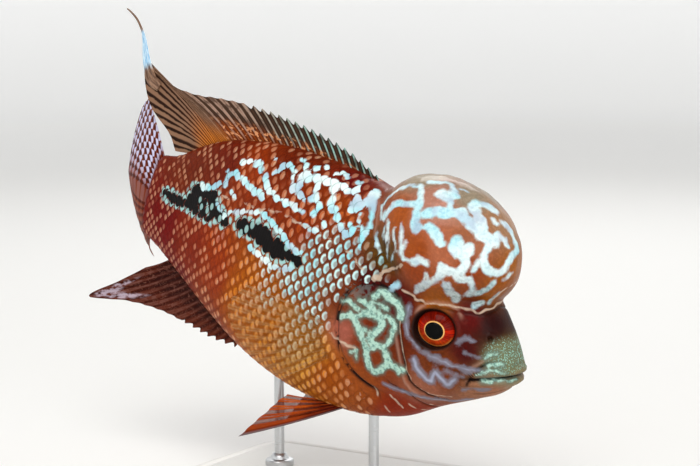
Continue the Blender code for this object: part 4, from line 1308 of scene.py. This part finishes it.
class FinFinish(Finish):
    """Fin membrane: streaks and spots that follow the rays, over a colour that changes root to edge.

    low and high colour the root and the edge and meet at low_part; front and rear colour the lit rays,
    as strong as glow says, of a fin with count gaps between its rays. Spots lie where a noise passes
    spots, between the two shares of the fin's depth in band. strands are the dark lanes in each gap.
    """

    def __init__(self, name, low, high, count, front, rear, spots, spot_colour, band, low_part=0.4,
                 seed=0.0, glow=0.9, strands=1):
        super().__init__(name, Roughness=0.48, Specular_IOR_Level=0.05, Coat_Roughness=0.2, Coat_IOR=1.35)
        self.ray, self.depth, self.reach = ray, depth, reach = self.parts("fin_place")
        self.ridge = self.attribute("fin_ray")
        wash = self.place.noise(60.0, 3.0, 0.6)
        ground = (depth + (wash - 0.5) * 0.5).above(low_part, 0.35).blend(linear(low), linear(high))
        self.streak = ray.vector(ray * 1.6 + seed, reach * 0.16).noise(1.0, 4.0, 0.6)
        glint = (ray * (1 / count)).above(0.45, 0.5).blend(linear(front), linear(rear))
        between = 1 - (ray * (2 * math.pi * strands)).math("COSINE").above(-0.3, 1.2)
        between = (between * (0.45 + self.streak * 0.5)).clip()
        colour = between.blend(ground, ground.tint((0.26, 0.2, 0.2)))
        lit = self.ridge.above(0.3, 0.5) * (0.25 + self.streak.above(0.48, 0.16) * 0.75)
        colour = (lit * depth.above(0.2, 0.3) * glow).blend(colour, glint)
        spot = ray.vector(ray * 1.8 + seed * 3, reach * 0.36).noise(1.0, warp=0.3)
        fade = depth.above(band[0], 0.15) * depth.below(band[1], 0.25)
        self.colour = (spot.above(spots, 0.06) * fade).blend(colour, linear(spot_colour))

    def paint(self, share, colour):
        """Lays a colour over the fin where share is 1."""
        self.colour = share.blend(self.colour, colour)

    def done(self, **inputs):
        """Drives the shader and gives the material."""
        self.drive(Base_Color=self.colour, Coat_Weight=0.02 + self.ridge * 0.08, **inputs)
        self.bump(self.place.noise(600.0, 2.0, 0.6) + self.ridge * 0.5, 0.25, 0.0005)
        return self.material


def dorsal_finish():
    """Dark at the spines with pale glints, and fine gold strands over the soft rays behind them."""
    f = FinFinish(
        "dorsal membrane", low=(128, 54, 10), high=(62, 42, 30), count=26.0, front=(146, 190, 180),
        rear=(164, 132, 114), spots=0.58, spot_colour=(204, 140, 96), band=(0.06, 0.44), strands=2,
    )
    strand = (f.ray * (9 * math.pi) + f.streak * 3.0).math("COSINE")
    strand = (strand * 0.5 + f.streak).above(0.42, 0.55)
    gold = f.depth.above(0.25, 0.4).blend(linear((196, 114, 34)), linear((132, 98, 76)))
    deep = f.depth.above(0.3, 0.5).blend(linear((92, 36, 6)), linear((36, 20, 12)))
    f.paint(f.ray.above(21.6, 1.6), strand.blend(deep, gold))
    return f.done()


def thread_finish():
    """The dorsal thread: brown at its root and tip, icy blue between."""
    f = Finish("dorsal thread", Roughness=0.45, Specular_IOR_Level=0.16, Coat_Weight=0.1)
    across, t, _ = f.parts("thread_place")
    grain = t.vector(across * 2.4, t * 9.0).noise(1.0, 3.0, 0.6)
    brown = grain.above(0.5, 0.3).blend(linear((84, 56, 40)), linear((150, 116, 92)))
    ice = grain.above(0.5, 0.3).blend(linear((120, 176, 216)), linear((206, 228, 240)))
    band = (t + (grain - 0.5) * 0.12).above(0.2, 0.06) * (t + (grain - 0.5) * 0.1).below(0.6, 0.08)
    f.drive(Base_Color=band.blend(brown, ice))
    f.bump(grain, 0.3, 0.0003)
    return f.material


def anal_finish():
    """Dark brown with curled lines, pale towards the tip."""
    f = FinFinish(
        "anal membrane", low=(58, 14, 2), high=(84, 28, 8), count=16.0, front=(96, 46, 28),
        rear=(104, 62, 52), spots=0.66, spot_colour=(96, 56, 44), band=(0.1, 0.8), low_part=0.5, seed=7.0,
    )
    curl = f.place.vector(f.ray * 0.9, f.reach * 0.22).noise(1.3, 1.0, 0.4, warp=1.2)
    f.paint((curl - 0.5).math("ABSOLUTE").below(0.02, 0.03) * 0.4, linear((120, 74, 62)))
    tip = f.ray.above(11.6, 0.8) * f.ray.below(14.6, 0.8)
    tip = tip * f.depth.above(0.66, 0.1) * f.depth.below(0.93, 0.06)
    f.paint(tip * f.streak.above(0.48, 0.16) * 0.8, linear((186, 170, 184)))
    return f.done()


def tail_finish():
    """Red-brown with rows of spots: icy above, faint below."""
    f = FinFinish(
        "tail membrane", low=(104, 28, 0), high=(112, 36, 4), count=15.0, front=(150, 96, 80),
        rear=(140, 60, 24), spots=0.7, spot_colour=(150, 110, 110), band=(0.2, 0.9), seed=3.0, glow=0.45,
    )
    row = (f.reach * 1.4 + f.streak * 3.0).math("SINE")
    lane = (f.ray * 2 * math.pi).math("COSINE")
    dot = (lane * 0.5 + row * 0.6 + 0.3).above(0.4, 0.4)
    upper = f.ray.below(7.5, 4.0)
    f.paint(dot * upper * f.depth.above(0.2, 0.2), linear((204, 202, 230)))
    f.paint((dot * (1 - upper) * f.depth.above(0.35, 0.2)) * 0.16, linear((176, 130, 110)))
    return f.done()


def pelvic_finish():
    """Red with a grey leading ray, clearer between the rear rays."""
    f = FinFinish(
        "pelvic membrane", low=(96, 20, 0), high=(150, 54, 4), count=5.0, front=(126, 52, 20),
        rear=(196, 92, 20), spots=0.8, spot_colour=(180, 100, 40), band=(0.1, 0.9), low_part=0.45,
        seed=5.0, glow=0.6,
    )
    f.paint(f.ray.below(0.35, 0.4), linear((104, 84, 84)))
    clear = (1 - f.ridge) * f.depth.above(0.45, 0.5) * f.ray.above(1.2, 0.8)
    return f.done(Alpha=1 - clear * 0.45)


def pectoral_finish():
    """Amber and nearly clear but for its root and rays."""
    f = FinFinish(
        "pectoral membrane", low=(150, 96, 50), high=(168, 120, 64), count=12.0, front=(176, 140, 96),
        rear=(170, 128, 80), spots=0.74, spot_colour=(196, 190, 150), band=(0.12, 0.85), low_part=0.3,
        seed=9.0,
    )
    root = f.depth.below(0.12, 0.1)
    f.paint(root * 0.7, linear((214, 190, 176)))
    cover = 0.08 + f.ridge * 0.2 + root * 0.4 + f.depth.below(0.3, 0.4) * 0.06
    return f.done(Alpha=cover.clip())


def steel_finish():
    """Steel brushed round the rods."""
    f = Finish("brushed steel", Metallic=1.0, Base_Color=(0.56, 0.57, 0.58, 1.0), Anisotropic=0.4)
    x, y, z = f.place.parts()
    brushed = f.place.vector(x * 60.0, y * 60.0, z * 2600.0).noise(1.0, 3.0, 0.6)
    f.drive(Roughness=0.2 + brushed * 0.22)
    f.bump(brushed, 0.08, 0.0002)
    return f.material


def paint_finish():
    """Off-white enamel with a fine grain."""
    f = Finish("stand enamel", Coat_Weight=0.15, Coat_Roughness=0.3)
    speck = f.place.noise(1500.0)
    tone = f.place.noise(14.0, 3.0, 0.5).blend(linear((214, 212, 206)), linear((226, 225, 221)))
    f.drive(Base_Color=tone, Roughness=0.42 + speck * 0.15)
    f.bump(speck, 0.2, 0.0003)
    return f.material


def paper_finish():
    """Pale paper that glows a little more where it is far off."""
    f = Finish("studio paper", Roughness=0.9, Emission_Strength=1.0)
    near = f.place.noise(0.8).blend(linear((228, 227, 224)), linear((233, 232, 229)))
    wall = f.place.vector_math("LENGTH", out=1).above(2.2, 1.8)
    tone = wall.blend(near, linear((250, 250, 249)))
    glow = (wall * 0.34 + 0.06).blend((0.0, 0.0, 0.0), (1.0, 1.0, 1.0))
    f.drive(Base_Color=tone, Emission_Color=glow)
    return f.material


def make_fins():
    """Every fin with its rays, each in the place of its solid."""
    soft = {"trail": TRAIL_FROM, "wave": soft_sway}
    fins = [
        ("dorsal_fin", fin_sheet(
            "dorsal_rays", midline_root(DORSAL_ROOT, back_line, -4.0), midline_edge(DORSAL_EDGE),
            DORSAL_RAYS, dorsal_finish(), spiny=DORSAL_SPINES, **soft,
        )),
        ("anal_fin", fin_sheet(
            "anal_rays", midline_root(ANAL_ROOT, belly_line, 4.0), midline_edge(ANAL_EDGE),
            ANAL_RAYS, anal_finish(), spiny=ANAL_SPINES, **soft,
        )),
        ("tail_fin", fin_sheet(
            "tail_rays", tail_root, midline_edge(TAIL_FIN_EDGE), TAIL_FIN_RAYS, tail_finish(),
            bow=TAIL_BOW, wave=tail_wave,
        )),
        ("dorsal_fin", dorsal_thread(thread_finish())),
    ]
    pairs = (
        ("pectoral", PECTORAL_ROOT, PECTORAL_FAN, PECTORAL_SPLAY, PECTORAL_RAYS, pectoral_finish()),
        ("pelvic", PELVIC_ROOT, PELVIC_FAN, PELVIC_SPLAY, PELVIC_RAYS, pelvic_finish()),
    )
    for side, word in ((1, "left"), (-1, "right")):
        for kind, ends, fan, splay, rays, finish in pairs:
            root, edge = paired_edges(side, ends, fan, splay)
            fin = fin_sheet(f"{kind}_rays_{word}", root, edge, rays, finish, bow=0.06)
            fins.append((f"{kind}_fin_{word}", fin))
    for node, fin in fins:
        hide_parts(node)
        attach(fin, "root")
        "clear fin membrane" if "pectoral" in node else "fin membrane"


# Scales
SCALE_LENGTH = 5.7  # what shows of a scale along the body, in millimetres
SCALE_HEIGHT = 6.7
SCALE_START = 54.0
# where the scales begin: (s, z) down the side, behind the gill cover and over the belly
SCALE_EDGE = (
    (88, 56), (86, 46), (84.5, 38), (80, 28), (64, 21), (57, 15), (66, 11), (76, 7), (79, 2), (80, -8),
    (78, -19), (73, -28.5), (64, -35), (54, -42), (48, -52), (46, -70),
)
BAKE_PATCH = 0.003  # width of a scale's patch on its UV map


def scale_taper(s):
    """A scale's size at station s beside the largest."""
    return 1 - 0.3 * smooth_step(120, 212, s)


def grid_at(grid, ring, column):
    """Values of a skin grid between its points."""
    r, c = np.floor(ring).astype(int), np.floor(column).astype(int)
    down, over = (ring - r)[:, None], (column - c)[:, None]
    below, after = np.minimum(r + 1, len(grid) - 1), (c + 1) % COLUMNS
    near = grid[r, c % COLUMNS] * (1 - over) + grid[r, after] * over
    far = grid[below, c % COLUMNS] * (1 - over) + grid[below, after] * over
    return near * (1 - down) + far * down


def scale_places(side):
    """Ring and column of the middle of each scale on one side, and its size beside the largest."""
    half = COLUMNS // 2
    columns = np.arange(half + 1) if side > 0 else (COLUMNS - np.arange(half + 1)) % COLUMNS
    edge_s, edge_z = np.array(SCALE_EDGE, float).T
    found, station, row = [], SCALE_START, 0
    while station < BODY_LENGTH - 3.5:
        size = scale_taper(station)
        ring = HEAD_RINGS + np.interp(station, TRUNK_STATIONS, np.arange(len(TRUNK_STATIONS)))
        line = grid_at(SKIN, np.full(half + 1, ring), columns.astype(float))
        arc = np.concatenate([[0], np.cumsum(np.linalg.norm(np.diff(line, axis=0), axis=1))])
        arc -= arc[half // 2]
        high = SCALE_HEIGHT * size
        first = math.ceil((arc[0] + 1.5) / high - 0.5 * (row % 2))
        last = math.floor((arc[-1] - 1.5) / high - 0.5 * (row % 2))
        at = (np.arange(first, last + 1) + 0.5 * (row % 2)) * high
        place = np.interp(at, arc, np.arange(half + 1))
        column = place if side > 0 else (COLUMNS - place) % COLUMNS
        points = grid_at(SKIN, np.full(len(at), ring), column)
        free = points[:, 0] > np.interp(-points[:, 2], -edge_z, edge_s)
        for c, ok in zip(column, free):
            if ok:
                found.append((ring, c, size))
        station += SCALE_LENGTH * size / 2
        row += 1
    return np.array(found).T


def scale_tree():
    """Geometry Nodes: a thin oval plate on each point, laid on the skin with its free edge lifted."""
    tree = bpy.data.node_groups.new("scale coat", "GeometryNodeTree")
    sizes = (
        ("Length", 9.0 * MM), ("Width", 8.1 * MM), ("Sink", 0.5 * MM), ("Lift", 0.42 * MM),
        ("Dome", 0.16 * MM), ("Thickness", 0.2 * MM), ("Draw", 0.12),
    )
    tree.interface.new_socket("Roots", in_out="INPUT", socket_type="NodeSocketGeometry")
    for name, size in sizes:
        tree.interface.new_socket(name, in_out="INPUT", socket_type="NodeSocketFloat").default_value = size
    for name, kind in (("Seed", "Int"), ("Skin", "Object"), ("Finish", "Material")):
        tree.interface.new_socket(name, in_out="INPUT", socket_type="NodeSocket" + kind)
    tree.interface.new_socket("Coat", in_out="OUTPUT", socket_type="NodeSocketGeometry")
    start = Value(tree, None)
    inputs = start.node("NodeGroupInput").socket.node

    def given(name):
        return Value(tree, inputs.outputs[name])

    def store(geometry, name, value, kind="FLOAT_VECTOR", domain="POINT"):
        return start.node(
            "GeometryNodeStoreNamedAttribute", {"data_type": kind, "domain": domain},
            Geometry=geometry, Name=name, Value=value,
        )

    def named(name):
        return start.node("GeometryNodeInputNamedAttribute", {"data_type": "FLOAT_VECTOR"}, Name=name)

    position = start.node("GeometryNodeInputPosition")

    def plate(under):
        """One face of the plate, a square grid rounded to a disc, with its height stored."""
        grid = start.node("GeometryNodeMeshGrid", Size_X=2.0, Size_Y=2.0, Vertices_X=6, Vertices_Y=8)
        x, y, _ = position.parts()
        u = x * (1 - y.squared() * 0.5) ** 0.5
        v = y * (1 - x.squared() * 0.5) ** 0.5
        rim = (1 - (u.squared() + v.squared())).math("MAXIMUM", 0.0)
        slope = (u + 1) * 0.5 * (given("Lift") + given("Sink")) - given("Sink")
        height = slope - rim * given("Thickness") if under else slope + rim * given("Dome")
        made = store(grid, "scale_place", start.vector(u, v, height))
        u, v, height = named("scale_place").parts()
        flat = start.vector(u * given("Length") * 0.5, v * given("Width") * 0.5, height)
        made = start.node("GeometryNodeSetPosition", Geometry=made, Position=flat)
        return start.node("GeometryNodeFlipFaces", Mesh=made) if under else made

    both = start.node("GeometryNodeJoinGeometry", Geometry=[plate(True), plate(False)])
    closed = start.node("GeometryNodeMergeByDistance", Geometry=both, Distance=0.01 * MM)
    luck = start.node("FunctionNodeRandomValue", {"data_type": "FLOAT"}, out=1, Seed=given("Seed"))
    roots = store(given("Roots"), "scale_luck", luck, "FLOAT")
    roots = store(roots, "scale_root", position)
    turn = start.node(
        "FunctionNodeAxesToRotation", {"primary_axis": "Z", "secondary_axis": "X"},
        Primary_Axis=named("scale_out"), Secondary_Axis=named("scale_back"),
    )
    coat = start.node(
        "GeometryNodeInstanceOnPoints", Points=roots, Instance=closed, Rotation=turn,
        Scale=named("scale_size"),
    )
    coat = start.node("GeometryNodeRealizeInstances", Geometry=coat)
    skin = start.node(
        "GeometryNodeObjectInfo", {"transform_space": "ORIGINAL"}, out="Geometry", Object=given("Skin"),
    )

    def on_skin(value, at):
        return start.node(
            "GeometryNodeSampleNearestSurface", {"data_type": "FLOAT_VECTOR"},
            Mesh=skin, Value=value, Sample_Position=at,
        )

    # each plate is bent onto the skin, its stored height above it
    _, _, height = named("scale_place").parts()
    raised = on_skin(named("skin_out"), position).vector_math("SCALE", Scale=height)
    laid = on_skin(position, position).vector_math("ADD", raised)
    coat = start.node("GeometryNodeSetPosition", Geometry=coat, Position=laid)
    # the marks are read nearly where they lie on the skin, drawn a little towards the scale's root
    drawn = start.node(
        "ShaderNodeMix", {"data_type": "VECTOR"}, out=1,
        _0=given("Draw"), _4=position, _5=named("scale_root"),
    )
    for name in ("marks", "marks_dark", "ground", "zones"):
        coat = store(coat, name, on_skin(named(name), drawn))
    patch = named("scale_place").vector_math("SCALE", Scale=BAKE_PATCH / 2)
    coat = store(coat, "OFBake", named("bake_place").vector_math("ADD", patch), "FLOAT2", "CORNER")
    coat = start.node("GeometryNodeSetShadeSmooth", Geometry=coat)
    coat = start.node("GeometryNodeSetMaterial", Geometry=coat, Material=given("Finish"))
    end = tree.nodes.new("NodeGroupOutput")
    tree.links.new(coat.socket, end.inputs[0])
    return tree


def make_scales(skin):
    """The coat of scales, left and right, laid on the skin behind the head."""
    grid = SKIN_PLACE.reshape(SKIN.shape)
    outward = SKIN_FACING.reshape(SKIN.shape)
    backward = unit(np.gradient(grid, axis=0))
    tree, finish = scale_tree(), scale_finish()
    for side, word in ((1, "left"), (-1, "right")):
        ring, column, size = scale_places(side)
        roots = bpy.data.meshes.new("scale roots")
        roots.from_pydata(grid_at(grid, ring, column).tolist(), [], [])
        point_values(roots, "scale_out", grid_at(outward, ring, column))
        point_values(roots, "scale_back", grid_at(backward, ring, column))
        point_values(roots, "scale_size", np.repeat(size[:, None], 3, 1))
        bake = np.stack([ring / SKIN.shape[0], (column + 0.5) / COLUMNS, 0 * ring], 1)
        point_values(roots, "bake_place", bake)
        maker = new_object(f"scale_roots_{word}", roots)
        coat = maker.modifiers.new("scale coat", "NODES")
        coat.node_group = tree
        settings = {"Seed": 5 + side, "Skin": skin, "Finish": finish}
        for socket in tree.interface.items_tree:
            if socket.name in settings:
                coat[socket.identifier] = settings[socket.name]
        evaluated = maker.evaluated_get(bpy.context.evaluated_depsgraph_get())
        mesh = bpy.data.meshes.new_from_object(evaluated)
        bpy.data.objects.remove(maker)
        for name in ("scale_out", "scale_back", "scale_size", "scale_root", "bake_place"):
            if name in mesh.attributes:
                mesh.attributes.remove(mesh.attributes[name])
        mesh.set_sharp_from_angle(angle=math.radians(70))
        made = new_object(f"scales_{word}", mesh)
        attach(made, "root")
        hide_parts("torso", "tail_stalk")


# Eyes
EYE_SEGMENTS = 96
EYE_RINGS = 59
PUPIL = 0.45
PUPIL_EDGE = 0.44
CORNEA = 0.5


def make_eyes():
    """Two glossy eyeballs, each with a low bulge over its pupil."""
    finish = eye_finish()
    lean = np.linspace(0, math.pi, EYE_RINGS + 2)[1:-1, None]
    around = np.linspace(0, 2 * math.pi, EYE_SEGMENTS, endpoint=False)[None, :]
    far = np.sin(lean) + 0 * around
    x, y, out = far * np.cos(around), far * np.sin(around), np.cos(lean) + 0 * around
    bulge = CORNEA * smooth_step(PUPIL + 0.06, PUPIL - 0.1, far) * (out > 0)
    iris_place = np.concatenate([np.stack([x, y, out], 2).reshape(-1, 3), [(0, 0, 1), (0, 0, -1)]])
    for side, word in ((1, "left"), (-1, "right")):
        local = np.stack([EYE_RADII[0] * x, side * (EYE_RADII[1] * out + bulge), EYE_RADII[2] * y], 2)
        poles = [(0, side * (EYE_RADII[1] + CORNEA), 0), (0, -side * EYE_RADII[1], 0)]
        local = np.concatenate([local.reshape(-1, 3), poles])
        spin = math.radians(side * EYE_TURN)
        turn = np.array((
            (math.cos(spin), -math.sin(spin), 0), (math.sin(spin), math.cos(spin), 0), (0, 0, 1),
        ))
        points = pose(local @ turn.T + np.array(EYE_CENTRE) * (1, side, 1))
        made = new_piece(f"eyeball_{word}", points, lofted(EYE_RINGS, EYE_SEGMENTS, True), finish)
        point_values(made.data, "iris_place", iris_place)
        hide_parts(f"eye_{word}")
        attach(made, "root")


# Stand: (inset, height) of the base's edge and (radius, height) of the collars, in millimetres
BASE_PROFILE = (
    (1.2, 0), (0.3, 0.3), (0, 1.2), (0, 6.2), (0.35, 7.2), (1.1, 7.8), (2.2, 8.0), (5.4, 8.0), (5.7, 7.7),
    (6.4, 7.7), (6.7, 8.0),
)
COLLAR_PROFILE = (
    (2.35, 8.0), (6.2, 8.0), (6.5, 8.4), (6.5, 10.4), (6.1, 10.9), (4.3, 11.3), (3.9, 12.2), (3.4, 13.4),
    (2.8, 13.8), (2.35, 13.7),
)
CORNER_STEPS = 13
COLLAR_SEGMENTS = 48


def turned(profile, count, x=0.0, y=0.0):
    """Rings of count points round an upright line, from (radius, height) pairs in metres."""
    turn = np.linspace(0, 2 * math.pi, count, endpoint=False)
    return [(x + r * math.cos(a), y + r * math.sin(a), z) for r, z in profile for a in turn]


def base_slab(finish):
    """A slab with round corners, its edge rolled and a shallow step sunk round its top."""
    points = []
    half_x, half_y = BASE_SIZE[0] / 2 - BASE_CORNER, BASE_SIZE[1] / 2 - BASE_CORNER
    for inset, z in BASE_PROFILE:
        corner = BASE_CORNER - inset
        for x, y, start in ((1, 1, 0), (-1, 1, 90), (-1, -1, 180), (1, -1, 270)):
            for angle in np.radians(np.linspace(start, start + 90, CORNER_STEPS)):
                aside, ahead = corner * math.sin(angle), corner * math.cos(angle)
                points.append((x * half_x + ahead, y * half_y + aside, z))
    rings, count = len(BASE_PROFILE), 4 * CORNER_STEPS
    faces = lofted(rings, count) + [range(count), range((rings - 1) * count, rings * count)]
    return new_piece("base_slab", np.array(points) * MM, faces, finish, 50)


def make_stand():
    """The base slab, and a steel finish and a collar for each rod."""
    enamel, steel = paint_finish(), steel_finish()
    base = base_slab(enamel)
    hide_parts("stand_base")
    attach(base, "root")
    profile = np.array(COLLAR_PROFILE + COLLAR_PROFILE[:1]) * MM
    faces = lofted(len(profile), COLLAR_SEGMENTS)
    for word in ("front", "rear"):
        node = f"stand_rod_{word}"
        rod = bpy.data.objects[node]
        rod.data.materials.clear()
        rod.data.materials.append(steel)
        low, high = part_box(node)
        points = turned(profile, COLLAR_SEGMENTS, (low[0] + high[0]) / 2, (low[1] + high[1]) / 2)
        collar = new_piece(f"collar_{word}", points, faces, steel, 35, merge=1e-6)
        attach(collar, "root")


def make_camera():
    """The camera, framed as the photograph is."""
    data = bpy.data.cameras.new("camera")
    made = new_object("camera", data)
    turn = Matrix([axis.tolist() for axis in camera_axes()]).transposed().to_4x4()
    made.matrix_world = Matrix.Translation(CAMERA_PLACE) @ turn
    data.sensor_width = 36.0
    data.lens = FOCAL_PIXELS * data.sensor_width / PHOTO_SIZE[0]
    data.clip_start = 0.05
    bpy.context.scene.camera = made


def make_light(name, place, size, power, colour=(1, 1, 1)):
    """A soft rectangular light turned towards the fish."""
    data = bpy.data.lights.new(name, "AREA")
    data.shape = "RECTANGLE"
    data.size, data.size_y = size
    data.energy = power
    data.color = colour
    made = new_object(name, data)
    made.location = place
    made.rotation_euler = (Vector(FISH_MIDDLE) - Vector(place)).to_track_quat("-Z", "Y").to_euler()


# Studio: (radius, height) of the paper, in metres, and where the lights point
BOWL = (
    (0.9, 0.0), (1.7, 0.0), (2.1, 0.05), (2.5, 0.25), (2.8, 0.6), (3.0, 1.1), (3.1, 1.7), (3.15, 2.6),
)
BOWL_SEGMENTS = 96
UNDER_BASE = 0.0003
FISH_MIDDLE = (0.0, 0.0, 0.1)


def make_studio():
    """A round pale sweep, plain from every side, with three soft lights."""
    points = turned([(r, z - UNDER_BASE) for r, z in BOWL], BOWL_SEGMENTS)
    faces = lofted(len(BOWL), BOWL_SEGMENTS) + [range(BOWL_SEGMENTS)]
    floor = new_piece("floor", points, faces, paper_finish())
    make_light("key", (0.35, -0.7, 1.25), (1.0, 0.8), 13.0, (1.0, 0.98, 0.95))
    make_light("fill", (1.1, -0.9, 0.3), (0.9, 0.9), 4.2, (0.96, 0.98, 1.0))
    make_light("rim", (-0.4, 1.0, 1.0), (0.7, 0.5), 6.0)
    world = bpy.data.worlds.new("studio air")
    world.use_nodes = True
    background = world.node_tree.nodes["Background"].inputs
    background["Color"].default_value = (0.92, 0.95, 1.0, 1.0)
    background["Strength"].default_value = 0.22
    bpy.context.scene.world = world
    bpy.context.scene.view_settings.view_transform = "Standard"


make_camera()
make_studio()
make_scales(make_skin())
make_eyes()
make_fins()
make_stand()
